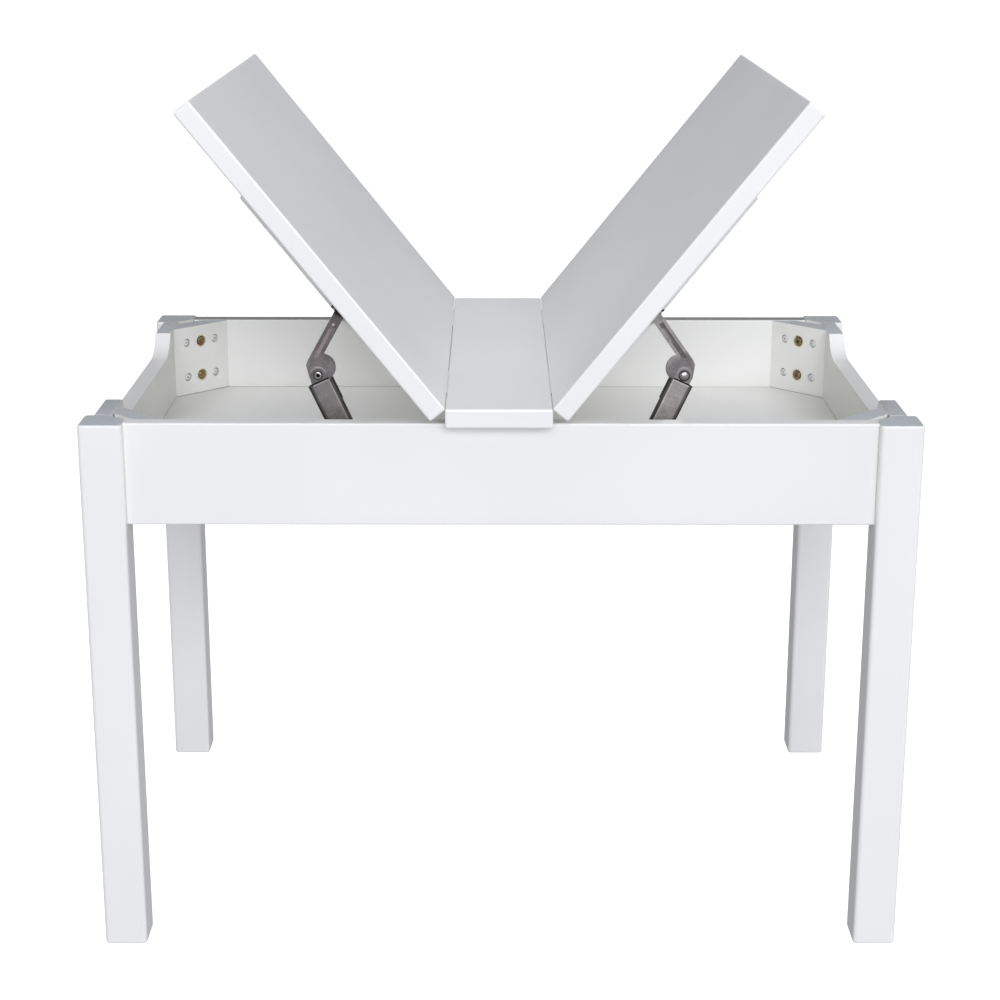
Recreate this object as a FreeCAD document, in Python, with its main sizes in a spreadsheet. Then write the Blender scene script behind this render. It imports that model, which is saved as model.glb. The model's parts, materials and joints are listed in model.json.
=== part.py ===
import FreeCAD, Part
import math
import os

import Sketcher

# Lift-top end table: four square legs and four aprons with bolted corner blocks, a shallow tray,
# a fixed centre strip across the top and two flaps that swing up beside it on butt hinges.
# A folding lid stay carries each flap: an arm on the flap's batten, a channel and a base clevis.
# Frame: X along the table, front at -Y, Z up from the floor, origin under the middle. Millimetres.
# The flaps stand open, which is how the table is shown and what every joint counts from.

SIZES = {
    # legs
    "leg_span_x": 877.0, "leg_span_y": 577.0, "leg_height": 594.5, "leg_size": 46.0,
    "leg_edge_radius": 4.5, "leg_corner_cut": 22.0, "edge_radius": 2.5,
    # aprons, with the dip in the top edge of the two short ones
    "apron_height": 110.0, "apron_thickness": 19.0, "apron_inset": 9.5, "apron_edge_radius": 2.0,
    "scoop_depth": 25.0, "scoop_flat": 262.0, "scoop_radius": 50.0,
    # corner blocks and their fasteners
    "block_thickness": 22.0, "block_gap": 11.0, "block_drop": 1.0, "block_clearance": 0.5,
    "fixing_row_upper": 21.5, "fixing_row_lower": 65.5, "fixing_pitch": 44.0,
    "bolt_head_radius": 6.0, "bolt_head_height": 3.5, "bolt_radius": 3.0, "bolt_bite": 27.0,
    "bolt_socket_radius": 2.4, "bolt_socket_depth": 2.5, "bolt_counterbore_radius": 6.8,
    "block_screw_head_radius": 4.2, "block_screw_head_height": 2.6, "block_screw_radius": 2.0,
    "block_screw_length": 30.0, "block_screw_counterbore_radius": 5.3, "counterbore_depth": 6.0,
    # tray panel, held in grooves
    "panel_drop": 88.5, "panel_thickness": 6.0, "groove_depth": 6.0, "groove_clearance": 0.2,
    "panel_corner_cut": 40.0,
    # top: strip and flaps, screwed down a little to one side of the middle of the base
    "top_thickness": 20.5, "top_length": 914.0, "top_depth": 603.0, "top_shift": -2.4,
    "strip_width": 111.0, "flap_gap": 1.2, "open_angle": 51.2,
    "strip_screw_pitch": 60.0, "strip_screw_tilt": 15.0, "strip_screw_seat": 18.0,
    "strip_screw_bite": 14.0, "strip_screw_radius": 1.75, "strip_screw_head_radius": 4.2,
    "strip_screw_head_height": 3.0, "pocket_radius": 4.75, "pocket_length": 56.0,
    # butt hinges between strip and flaps
    "hinge_inset": 126.5, "hinge_length": 100.0, "hinge_knuckle_radius": 2.3,
    "hinge_pin_radius": 1.1, "hinge_fit": 0.05, "hinge_relief": 0.3, "knuckle_gap": 0.3,
    "leaf_thickness": 1.0, "leaf_height": 15.5, "leaf_gap": 0.2,
    "leaf_screw_drop": 9.5, "leaf_screw_pitch": 36.0, "leaf_screw_head_radius": 2.4,
    "leaf_screw_radius": 1.25, "leaf_screw_length": 13.0,
    # battens under the flaps
    "batten_start": 64.0, "batten_length": 238.0, "batten_width": 39.0, "batten_thickness": 19.0,
    "batten_clearance": 48.5, "batten_bevel_run": 9.0, "batten_bevel_rise": 15.0,
    "batten_nose_radius": 12.0, "batten_screw_spacing": 90.0, "batten_screw_length": 32.0,
    "batten_screw_radius": 2.0, "batten_screw_head_radius": 4.0, "batten_screw_head_height": 2.4,
    # lid stays
    "stay_reach_left": 138.6, "stay_reach_right": 134.4, "stay_offset": 7.5,
    "arm_length": 76.0, "arm_thickness": 3.0, "arm_width": 11.4, "arm_shift": 11.3,
    "lobe_radius": 14.5, "lobe_shift": 0.4, "lobe_rise": 9.5, "knee_radius": 9.5,
    "shoulder_rise": 7.5, "shoulder_cut_run": 1.1, "shoulder_cut_rise": 4.6,
    "rib_width": 4.6, "rib_height": 0.9, "rib_start": 17.0, "rib_length": 48.0,
    "stay_length": 100.0, "channel_width": 26.5, "channel_depth": 9.0, "sheet": 1.5,
    "channel_bend": 2.6, "web_start": 7.4, "slot_length": 25.0, "channel_taper": 17.0,
    "channel_end_radius": 8.0, "ear_radius": 9.0, "ear_clearance": 0.1, "ear_tail": 12.0,
    "knee_rivet_radius": 3.0, "rivet_head_radius": 4.9, "rivet_head_height": 2.0,
    "rivet_hollow_radius": 1.8, "rivet_hollow_depth": 3.0, "rivet_fit": 0.06,
    "rivet_flare_radius": 3.9, "rivet_lip": 1.0,
    "base_x": 151.8, "base_height": 35.3, "base_pin_radius": 2.5, "base_pin_head_radius": 4.0,
    "base_pin_head_height": 1.5, "bracket_gap": 0.5, "bracket_sheet": 2.0,
    "bracket_ear_width": 24.0, "bracket_foot": 44.0, "bracket_screw_pitch": 33.0,
    "bracket_slot_radius": 4.8, "bracket_slot_travel": 7.8, "bracket_ear_rise": 8.5,
    "panel_screw_radius": 1.5, "panel_screw_length": 5.0, "panel_screw_head_radius": 2.8,
    "panel_screw_head_height": 1.6,
    "lug_thickness": 2.5, "lug_length": 46.0, "lug_height": 16.0, "lug_screw_pitch": 32.0,
    "lug_screw_length": 16.0, "lug_screw_radius": 1.75, "lug_screw_head_radius": 3.4,
    "lug_screw_head_height": 1.8, "pivot_radius": 3.0, "pivot_shoulder_radius": 5.0,
    "pivot_head_radius": 5.5, "pivot_head_height": 1.8,
}

doc = FreeCAD.newDocument("LiftTopEndTable")
sheet = doc.addObject("Spreadsheet::Sheet", "Sizes")
for row, (alias, value) in enumerate(SIZES.items(), 1):
    sheet.set(f"A{row}", alias)
    sheet.set(f"B{row}", str(value))
    sheet.setAlias(f"B{row}", alias)
doc.recompute()


class Size(float):
    """A length that remembers the sheet expression that it was worked out from."""

    def __new__(cls, value, text):
        made = float.__new__(cls, value)
        made.text = text
        return made

    def __add__(self, other):
        return Size(float(self) + float(other), f"({self.text} + {written(other)})")

    def __radd__(self, other):
        return Size(float(other) + float(self), f"({written(other)} + {self.text})")

    def __sub__(self, other):
        return Size(float(self) - float(other), f"({self.text} - {written(other)})")

    def __rsub__(self, other):
        return Size(float(other) - float(self), f"({written(other)} - {self.text})")

    def __mul__(self, other):
        return Size(float(self) * float(other), f"({self.text} * {written(other)})")

    __rmul__ = __mul__

    def __truediv__(self, other):
        return Size(float(self) / float(other), f"({self.text} / {written(other)})")

    def __neg__(self):
        return Size(-float(self), f"(-1 * {self.text})")


def written(value):
    return value.text if isinstance(value, Size) else f"({float(value)!r})"


class Sheet:
    """The driving sizes by name, each tied to its cell."""

    def __getattr__(self, alias):
        return Size(float(sheet.get(alias)), f"Sizes.{alias}")


S = Sheet()
Vector = FreeCAD.Vector
Rotation = FreeCAD.Rotation
Placement = FreeCAD.Placement
AXIS_Y = Vector(0, 1, 0)
AXIS_Z = Vector(0, 0, 1)
ROOT_2 = math.sqrt(2)
HALF_TURN = 180


# ---- how bodies, sketches and features are made ----

def new_body(label):
    body = doc.addObject("PartDesign::Body", label)
    body.Label = label
    return body


def bind(item, name, value):
    """Give a property its value and, where the value came from the sheet, its expression."""
    setattr(item, name, float(value))
    if isinstance(value, Size):
        item.setExpression(name, value.text)


def sketch_on(body, role, name, shift=0.0):
    """A sketch on an origin plane of its own body, moved along that plane's normal."""
    sketch = body.newObject("Sketcher::SketchObject", name)
    plane = next(item for item in body.Origin.OriginFeatures if item.Role == role)
    sketch.AttachmentSupport = [(plane, "")]
    sketch.MapMode = "FlatFace"
    sketch.AttachmentOffset = Placement(Vector(0, 0, float(shift)), Rotation())
    if isinstance(shift, Size):
        sketch.setExpression("AttachmentOffset.Base.z", shift.text)
    return sketch


def constrain(sketch, kind, *arguments):
    """Add a constraint whose last argument is a size, tied to the sheet where it came from it."""
    value = arguments[-1]
    number = sketch.addConstraint(Sketcher.Constraint(kind, *arguments[:-1], float(value)))
    if isinstance(value, Size):
        sketch.setExpression(f"Constraints[{number}]", value.text)


def arc_between(start, end, radius):
    """The short arc from start to end: a positive radius bulges to the right of the way."""
    chord = end - start
    half = chord.Length / 2
    left = Vector(-chord.y, chord.x, 0).normalize()
    side = 1 if radius > 0 else -1
    centre = start + chord / 2 + left * (side * math.sqrt(float(radius) ** 2 - half ** 2))
    angles = [math.atan2(point.y - centre.y, point.x - centre.x) for point in (start, end)]
    if side < 0:
        angles.reverse()
    if angles[1] < angles[0]:
        angles[1] += 2 * math.pi
    circle = Part.Circle(centre, AXIS_Z, abs(float(radius)))
    return Part.ArcOfCircle(circle, *angles)


def outline(sketch, corners):
    """A closed chain through corners: (x, y) starts a line, (x, y, radius) an arc to the next."""
    first = sketch.GeometryCount
    points = [Vector(float(corner[0]), float(corner[1]), 0) for corner in corners]
    ends = []
    for index, corner in enumerate(corners):
        start = points[index]
        end = points[(index + 1) % len(points)]
        if len(corner) == 3:
            sketch.addGeometry(arc_between(start, end, corner[2]))
            ends.append((1, 2) if corner[2] > 0 else (2, 1))
        else:
            sketch.addGeometry(Part.LineSegment(start, end))
            ends.append((1, 2))
    for index, corner in enumerate(corners):
        following = (index + 1) % len(corners)
        sketch.addConstraint(Sketcher.Constraint(
            "Coincident", first + index, ends[index][1], first + following, ends[following][0]))
        constrain(sketch, "DistanceX", -1, 1, first + index, ends[index][0], corner[0])
        constrain(sketch, "DistanceY", -1, 1, first + index, ends[index][0], corner[1])
        if len(corner) == 3:
            radius = corner[2] if corner[2] > 0 else -corner[2]
            constrain(sketch, "Radius", first + index, radius)


def rectangle(sketch, left, bottom, right, top):
    outline(sketch, [(left, bottom), (right, bottom), (right, top), (left, top)])


def obround(sketch, x, bottom, top, radius):
    """An upright slot: straight sides with a half circle at each end."""
    outline(sketch, [(x + radius, bottom), (x + radius, top, radius), (x, top + radius, radius),
                     (x - radius, top), (x - radius, bottom, radius), (x, bottom - radius, radius)])


def circle(sketch, x, y, radius):
    number = sketch.addGeometry(Part.Circle(Vector(float(x), float(y), 0), AXIS_Z, float(radius)))
    constrain(sketch, "DistanceX", -1, 1, number, 3, x)
    constrain(sketch, "DistanceY", -1, 1, number, 3, y)
    constrain(sketch, "Radius", number, radius)


def pad(body, sketch, length, both_ways=False, reverse=False):
    feature = body.newObject("PartDesign::Pad", sketch.Name + "Pad")
    feature.Profile = sketch
    feature.SideType = "Symmetric" if both_ways else "One side"
    feature.Reversed = reverse
    bind(feature, "Length", length)
    return feature


def pocket(body, sketch, length, both_ways=False, reverse=False):
    """Cut against the sketch's normal, or along it when reversed; the solid must get smaller."""
    doc.recompute()
    before = body.Shape.Volume
    feature = body.newObject("PartDesign::Pocket", sketch.Name + "Pocket")
    feature.Profile = sketch
    feature.SideType = "Symmetric" if both_ways else "One side"
    feature.Reversed = reverse
    bind(feature, "Length", length)
    doc.recompute()
    if body.Shape.Volume >= before:
        raise RuntimeError(f"{body.Label}: {sketch.Name} cuts nothing")
    return feature


def primitive(body, kind, name, placement, **sizes):
    """An additive or subtractive box, cylinder or cone at a place in the body."""
    feature = body.newObject(f"PartDesign::{kind}", name)
    for property_name, value in sizes.items():
        bind(feature, property_name, value)
    feature.Placement = placement
    return feature


def along(point, direction):
    """A placement at point whose Z axis looks along direction."""
    return Placement(point, Rotation(AXIS_Z, direction))


def bore(body, name, point, direction, radius, depth, lead=0.0):
    """A round hole from point along direction; a lead lets it start outside a slanted face."""
    mouth = point - Vector(direction).normalize() * float(lead)
    return primitive(body, "SubtractiveCylinder", name, along(mouth, direction),
                     Radius=radius, Height=depth + lead)


def ease(body, radius, keep):
    """Round the edges of the body so far that keep() picks by their middle and direction."""
    doc.recompute()
    base = body.Tip
    names = []
    for number, edge in enumerate(base.Shape.Edges, 1):
        middle = edge.valueAt((edge.FirstParameter + edge.LastParameter) / 2)
        if keep(middle, edge):
            names.append(f"Edge{number}")
    feature = body.newObject("PartDesign::Fillet", body.Name + "Eased")
    feature.Base = (base, names)
    bind(feature, "Radius", radius)
    return feature


def every_edge(middle, edge):
    return True


def near(value, target):
    return abs(value - float(target)) < 1e-4


def turned(angle, place, axis=AXIS_Z):
    return Placement(place, Rotation(axis, float(angle)))


def fastener(profile):
    """A turned fastener: half its section in the XZ plane, swept about Z, its seat at the top."""
    points = [Vector(float(x), 0, float(z)) for x, z in profile]
    face = Part.Face(Part.makePolygon(points + points[:1]))
    return face.revolve(Vector(), AXIS_Z, 360)


CROWN_WIDTH = 0.7
CROWN_START = 0.5


def pan_screw(shank_radius, length, head_radius, head_height):
    """A round-shanked screw with a flat-bottomed head; the head's underside is at the origin."""
    return fastener([(0, head_height), (head_radius * CROWN_WIDTH, head_height),
                     (head_radius, head_height * CROWN_START), (head_radius, 0), (shank_radius, 0),
                     (shank_radius, -length), (0, -length)])


def flush_screw(shank_radius, length, head_radius, head_height):
    """A countersunk screw; the head's flat top is at the origin."""
    return fastener([(0, 0), (head_radius, 0), (shank_radius, -head_height),
                     (shank_radius, -length), (0, -length)])


def group(label, shape, placements):
    """Identical fasteners in one node, as separate solids."""
    node = doc.addObject("Part::Feature", label)
    node.Label = label
    node.Shape = Part.makeCompound([shape.transformed(place.toMatrix(), True)
                                    for place in placements])
    return node


nodes = []


# ---- where things stand ----

half_x = S.leg_span_x / 2
half_y = S.leg_span_y / 2
corner_x = half_x - S.apron_inset - S.apron_thickness
corner_y = half_y - S.apron_inset - S.apron_thickness
apron_bottom = S.leg_height - S.apron_height
panel_top = S.leg_height - S.panel_drop
top_surface = S.leg_height + S.top_thickness
batten_front = S.batten_clearance - corner_y

# Along the diagonal of a corner, from where the inner faces of two aprons meet:
# the leg's cut corner, then the corner block's outer and inner faces.
leg_cut_reach = (2 * (S.leg_size - S.apron_inset - S.apron_thickness) - S.leg_corner_cut) / ROOT_2
block_outer = leg_cut_reach + S.block_gap
block_inner = block_outer + S.block_thickness
block_top = S.leg_height - S.block_drop
block_bottom = panel_top + S.block_clearance
fixing_rows = (S.leg_height - S.fixing_row_upper, S.leg_height - S.fixing_row_lower)
half_pitch = S.fixing_pitch / 2

# Corners in order round the table: name, X side, Y side and the turn from the front left one.
CORNERS = (("front_left", -1, -1, 0), ("front_right", 1, -1, 90),
           ("rear_right", 1, 1, 180), ("rear_left", -1, 1, 270))


def make_leg(label, side_x, side_y, turn):
    """A square leg with rounded edges, its inner top corner cut off for the corner bolts."""
    body = new_body(label)
    half = S.leg_size / 2
    section = sketch_on(body, "XY_Plane", "Section")
    rectangle(section, -half, -half, half, half)
    pad(body, section, S.leg_height)
    ease(body, S.leg_edge_radius,
         lambda middle, edge: near(abs(edge.tangentAt(edge.FirstParameter).z), 1))
    ease(body, S.edge_radius, lambda middle, edge: near(middle.z, 0) or near(middle.z, S.leg_height))
    cut = sketch_on(body, "XY_Plane", "CornerCut", S.leg_height)
    outline(cut, [(half, half), (half - S.leg_corner_cut, half), (half, half - S.leg_corner_cut)])
    pocket(body, cut, S.apron_height)
    middle = half - S.leg_corner_cut / 2
    for number, height in enumerate(fixing_rows):
        bore(body, f"BoltHole{number}", Vector(middle, middle, height), Vector(-1, -1, 0),
             S.bolt_radius, S.bolt_bite)
    body.Placement = turned(turn, Vector(side_x * (half_x - half), side_y * (half_y - half), 0))
    nodes.append(body)


for corner_name, side_x, side_y, turn in CORNERS:
    make_leg(f"leg_{corner_name}", side_x, side_y, turn)


# ---- aprons: grooved for the tray panel; the short ones dip in the middle ----

screw_depth = S.block_screw_length + S.counterbore_depth - (block_inner - half_pitch)


def make_apron(label, between_legs, inner_span, turn, place, scooped):
    """An apron with its outer face at y = 0 and its inner face looking along +Y."""
    body = new_body(label)
    half = between_legs / 2
    flat = S.scoop_flat / 2
    floor = S.apron_height - S.scoop_depth
    elevation = sketch_on(body, "XZ_Plane", "Elevation")
    rectangle(elevation, -half, 0, half, S.apron_height)
    pad(body, elevation, S.apron_thickness, reverse=True)
    ease(body, S.apron_edge_radius,
         lambda middle, edge: near(abs(edge.tangentAt(edge.FirstParameter).x), 1))
    if scooped:
        above = S.apron_height + S.scoop_radius - S.scoop_depth
        scoop = sketch_on(body, "XZ_Plane", "Scoop")
        outline(scoop, [(-flat, floor), (flat, floor, S.scoop_radius),
                        (flat + S.scoop_radius, above),
                        (-flat - S.scoop_radius, above, S.scoop_radius)])
        pocket(body, scoop, S.apron_thickness)
    groove = sketch_on(body, "YZ_Plane", "PanelGroove")
    shelf = panel_top - S.panel_thickness - apron_bottom
    rectangle(groove, S.apron_thickness - S.groove_depth, shelf, S.apron_thickness + S.groove_depth,
              shelf + S.panel_thickness + S.groove_clearance)
    pocket(body, groove, between_legs, both_ways=True)
    for side in (-1, 1):
        for number, height in enumerate(fixing_rows):
            entry = Vector(side * (inner_span / 2 - half_pitch * ROOT_2), S.apron_thickness,
                           height - apron_bottom)
            bore(body, f"BlockScrewHole{number}", entry, Vector(side, -1, 0),
                 S.block_screw_radius, screw_depth, lead=S.block_screw_radius)
        if not scooped:
            slope = pocket_slope()
            start = Vector(side * S.strip_screw_pitch / 2, S.apron_thickness / 2, S.apron_height)
            bore(body, "PilotHole", start, slope, S.strip_screw_radius, S.strip_screw_seat,
                 lead=S.strip_screw_radius)
            bore(body, "PocketHole", start + slope * float(S.strip_screw_seat), slope,
                 S.pocket_radius, S.pocket_length)
    body.Placement = turned(turn, place)
    nodes.append(body)


def pocket_slope():
    """The way down a pocket hole, leaning to the apron's inner face."""
    tilt = math.radians(S.strip_screw_tilt)
    return Vector(0, math.sin(tilt), -math.cos(tilt))


long_apron = S.leg_span_x - 2 * S.leg_size
short_apron = S.leg_span_y - 2 * S.leg_size
apron_y = half_y - S.apron_inset
apron_x = half_x - S.apron_inset
make_apron("apron_front", long_apron, 2 * corner_x, 0, Vector(0, -apron_y, apron_bottom), False)
make_apron("apron_back", long_apron, 2 * corner_x, 180, Vector(0, apron_y, apron_bottom), False)
make_apron("apron_left", short_apron, 2 * corner_y, -90, Vector(-apron_x, 0, apron_bottom), True)
make_apron("apron_right", short_apron, 2 * corner_y, 90, Vector(apron_x, 0, apron_bottom), True)


# ---- corner blocks, with two leg bolts and four apron screws each ----

def block_places():
    """Each corner's placement: local +Y looks out of the table at 45 degrees."""
    for name, side_x, side_y, turn in CORNERS:
        reach = block_inner / ROOT_2
        place = Vector(side_x * (corner_x - reach), side_y * (corner_y - reach), 0)
        yield name, turned(turn + 135, place)


def make_block(label, placement):
    body = new_body(label)
    plan = sketch_on(body, "XY_Plane", "Plan", block_bottom)
    outline(plan, [(-block_inner, 0), (block_inner, 0), (block_outer, S.block_thickness),
                   (-block_outer, S.block_thickness)])
    pad(body, plan, block_top - block_bottom)
    for name, sides, radius, depth in (
            ("BoltCounterbore", (0,), S.bolt_counterbore_radius, S.counterbore_depth),
            ("BoltHole", (0,), S.bolt_radius, S.block_thickness),
            ("ScrewCounterbore", (-1, 1), S.block_screw_counterbore_radius, S.counterbore_depth),
            ("ScrewHole", (-1, 1), S.block_screw_radius, S.block_thickness)):
        holes = sketch_on(body, "XZ_Plane", name)
        for side in sides:
            for height in fixing_rows:
                circle(holes, side * half_pitch, height, radius)
        pocket(body, holes, depth)
    body.Placement = placement
    nodes.append(body)


def corner_bolt():
    """A socket-headed bolt; the underside of its head is at the origin."""
    length = S.block_thickness - S.counterbore_depth + S.block_gap + S.bolt_bite
    bolt = pan_screw(S.bolt_radius, length, S.bolt_head_radius, S.bolt_head_height)
    socket = Part.makeCylinder(S.bolt_socket_radius, S.bolt_socket_depth,
                               Vector(0, 0, S.bolt_head_height - S.bolt_socket_depth))
    return bolt.cut(socket)


block_bolts = []
block_screws = []
for corner_name, placement in block_places():
    make_block(f"corner_block_{corner_name}", placement)
    for height in fixing_rows:
        seat = placement * along(Vector(0, S.counterbore_depth, height), -AXIS_Y)
        block_bolts.append(seat)
        for side in (-1, 1):
            block_screws.append(placement * along(
                Vector(side * half_pitch, S.counterbore_depth, height), -AXIS_Y))
nodes.append(group("corner_bolts", corner_bolt(), block_bolts))
nodes.append(group("corner_block_screws", pan_screw(
    S.block_screw_radius, S.block_screw_length, S.block_screw_head_radius,
    S.block_screw_head_height), block_screws))


# ---- tray panel: an eight-sided board let into the grooves, clear of the corner gaps ----

tray = new_body("tray_panel")
plan = sketch_on(tray, "XY_Plane", "Plan", panel_top - S.panel_thickness)
tongue = S.groove_depth - S.groove_clearance
tray_x = corner_x + tongue
tray_y = corner_y + tongue
clip = S.panel_corner_cut + 2 * tongue
outline(plan, [(clip - tray_x, -tray_y), (tray_x - clip, -tray_y),
               (tray_x, clip - tray_y), (tray_x, tray_y - clip),
               (tray_x - clip, tray_y), (clip - tray_x, tray_y),
               (-tray_x, tray_y - clip), (-tray_x, clip - tray_y)])
pad(tray, plan, S.panel_thickness)
for side in (-1, 1):
    holes = sketch_on(tray, "XY_Plane", "BracketHoles", panel_top)
    for end in (-1, 1):
        circle(holes, side * S.base_x + end * S.bracket_screw_pitch / 2,
               batten_front - S.stay_offset, S.panel_screw_radius)
    pocket(tray, holes, S.panel_screw_length)
nodes.append(tray)


# ---- hinges: the pin line, and what it asks of the edges beside it ----

axis_x = (S.strip_width + S.flap_gap) / 2
axis_z = top_surface - S.hinge_knuckle_radius
leaf_back = S.leaf_gap / 2 + S.leaf_thickness
relief_radius = S.hinge_knuckle_radius + S.hinge_relief
hinge_reach = S.top_depth / 2 - S.hinge_inset
hinge_middles = (-hinge_reach, hinge_reach)
mortise_half = S.hinge_length / 2 + S.knuckle_gap


def leaf_screw_rows(middle):
    return [middle + step * S.leaf_screw_pitch for step in (-1, 0, 1)]


def cut_hinge_seats(body, axis, side, pilot_depth):
    """Mortise an edge for its leaves; axis is (x, z) and side the way from the edge inward."""
    for middle in hinge_middles:
        start = Vector(axis[0], middle - mortise_half, axis[1])
        primitive(body, "SubtractiveCylinder", "KnuckleRelief", along(start, AXIS_Y),
                  Radius=relief_radius, Height=2 * mortise_half)
        low_x = axis[0] if side > 0 else axis[0] - leaf_back
        primitive(body, "SubtractiveBox", "LeafSeat",
                  Placement(Vector(low_x, middle - mortise_half, axis[1] - S.leaf_height), Rotation()),
                  Length=leaf_back, Width=2 * mortise_half, Height=S.leaf_height)
        for row in leaf_screw_rows(middle):
            point = Vector(axis[0] + side * leaf_back, row, axis[1] - S.leaf_screw_drop)
            bore(body, "LeafPilot", point, Vector(side, 0, 0), S.leaf_screw_radius, pilot_depth)


KNUCKLES = 5
STRIP_KNUCKLES = (0, 2, 4)
FLAP_KNUCKLES = (1, 3)


def make_leaf(label, knuckles, side, placement):
    """One leaf of a butt hinge about the Y axis, lying to one side of the pin."""
    body = new_body(label)
    pitch = S.hinge_length / KNUCKLES
    plate_top = -S.hinge_knuckle_radius - S.leaf_gap
    inner = side * S.leaf_gap / 2
    plate = sketch_on(body, "YZ_Plane", "Plate", inner)
    rectangle(plate, -S.hinge_length / 2, -S.leaf_height, S.hinge_length / 2, plate_top)
    pad(body, plate, S.leaf_thickness, reverse=side < 0)
    low_x = inner if side > 0 else inner - S.leaf_thickness
    wall = (S.hinge_knuckle_radius + S.hinge_pin_radius + S.hinge_fit) / 2
    for number in knuckles:
        start = number * pitch - S.hinge_length / 2 + S.knuckle_gap / 2
        primitive(body, "AdditiveBox", "Root", Placement(Vector(low_x, start, plate_top), Rotation()),
                  Length=S.leaf_thickness, Width=pitch - S.knuckle_gap, Height=-wall - plate_top)
        primitive(body, "AdditiveCylinder", "Knuckle", along(Vector(0, start, 0), AXIS_Y),
                  Radius=S.hinge_knuckle_radius, Height=pitch - S.knuckle_gap)
    bore(body, "PinBore", Vector(0, -S.hinge_length / 2, 0), AXIS_Y,
         S.hinge_pin_radius + S.hinge_fit, S.hinge_length)
    for row in leaf_screw_rows(0):
        point = Vector(inner, row, -S.leaf_screw_drop)
        primitive(body, "SubtractiveCone", "Countersink", along(point, Vector(side, 0, 0)),
                  Radius1=S.leaf_screw_head_radius, Radius2=S.leaf_screw_radius,
                  Height=S.leaf_thickness)
    body.Placement = placement
    nodes.append(body)


def leaf_screw_places(side, carrier):
    """Screws through every leaf on one side of a pin line, seen from that line."""
    return [carrier * along(Vector(side * S.leaf_gap / 2, row, -S.leaf_screw_drop),
                            Vector(-side, 0, 0))
            for middle in hinge_middles for row in leaf_screw_rows(middle)]


leaf_screw = flush_screw(S.leaf_screw_radius, S.leaf_screw_length, S.leaf_screw_head_radius,
                         S.leaf_thickness)


# ---- centre strip: screwed to the long aprons, hinged on both sides ----

strip = new_body("centre_strip")
section = sketch_on(strip, "XY_Plane", "Section", S.leg_height)
rectangle(section, S.top_shift - S.strip_width / 2, -S.top_depth / 2,
          S.top_shift + S.strip_width / 2, S.top_depth / 2)
pad(strip, section, S.top_thickness)
ease(strip, S.edge_radius, every_edge)
pilot_depth = S.leaf_screw_length - S.leaf_thickness
for side in (-1, 1):
    cut_hinge_seats(strip, (S.top_shift + side * axis_x, axis_z), -side, pilot_depth)
strip_screws = []
for back, turn in ((-1, 0), (1, 180)):
    carrier = turned(turn, Vector(0, back * apron_y, 0))
    for side in (-1, 1):
        start = Vector(side * S.strip_screw_pitch / 2, S.apron_thickness / 2, S.leg_height)
        slope = pocket_slope()
        bore(strip, "ScrewPilot", carrier.multVec(start), carrier.Rotation.multVec(-slope),
             S.strip_screw_radius, S.strip_screw_bite, lead=S.strip_screw_radius)
        strip_screws.append(carrier * along(start + slope * float(S.strip_screw_seat), slope))
nodes.append(strip)
nodes.append(group("strip_screws", pan_screw(
    S.strip_screw_radius, S.strip_screw_seat + S.strip_screw_bite, S.strip_screw_head_radius,
    S.strip_screw_head_height), strip_screws))


# ---- flaps: each in a frame with the hinge axis at its origin, closed, +X outward ----

def flap_frame(side, angle):
    """From a flap's own frame to the table; side is 1 for right, -1 for left."""
    swing = Placement(Vector(axis_x, 0, axis_z), Rotation(AXIS_Y, -float(angle)))
    middle = Placement(Vector(S.top_shift, 0, 0), Rotation(AXIS_Z, 0 if side > 0 else HALF_TURN))
    return middle * swing


flap_length = (S.top_length - S.strip_width) / 2 - S.flap_gap
flap_under = S.hinge_knuckle_radius - S.top_thickness
batten_under = flap_under - S.batten_thickness
batten_end = S.batten_start + S.batten_length
batten_screw_rows = [S.batten_start + S.batten_length / 2 + step * S.batten_screw_spacing
                     for step in (-1, 0, 1)]
pivot_z = flap_under - S.batten_thickness / 2


def batten_middle(side, end):
    """Y of a batten's middle in its flap's own frame; end is -1 for front, 1 for rear."""
    return side * end * -1 * (batten_front + S.batten_width / 2)


def make_flap(label, side):
    body = new_body(label)
    inner = S.flap_gap / 2
    section = sketch_on(body, "XY_Plane", "Section", flap_under)
    rectangle(section, inner, -S.top_depth / 2, inner + flap_length, S.top_depth / 2)
    pad(body, section, S.top_thickness)
    ease(body, S.edge_radius, every_edge)
    cut_hinge_seats(body, (0.0, 0.0), 1, pilot_depth)
    holes = sketch_on(body, "XY_Plane", "BattenPilots", flap_under)
    for end in (-1, 1):
        for row in batten_screw_rows:
            circle(holes, row, batten_middle(side, end), S.batten_screw_radius)
    pocket(body, holes, S.batten_screw_length - S.batten_thickness, reverse=True)
    body.Placement = flap_frame(side, S.open_angle)
    nodes.append(body)


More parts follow.
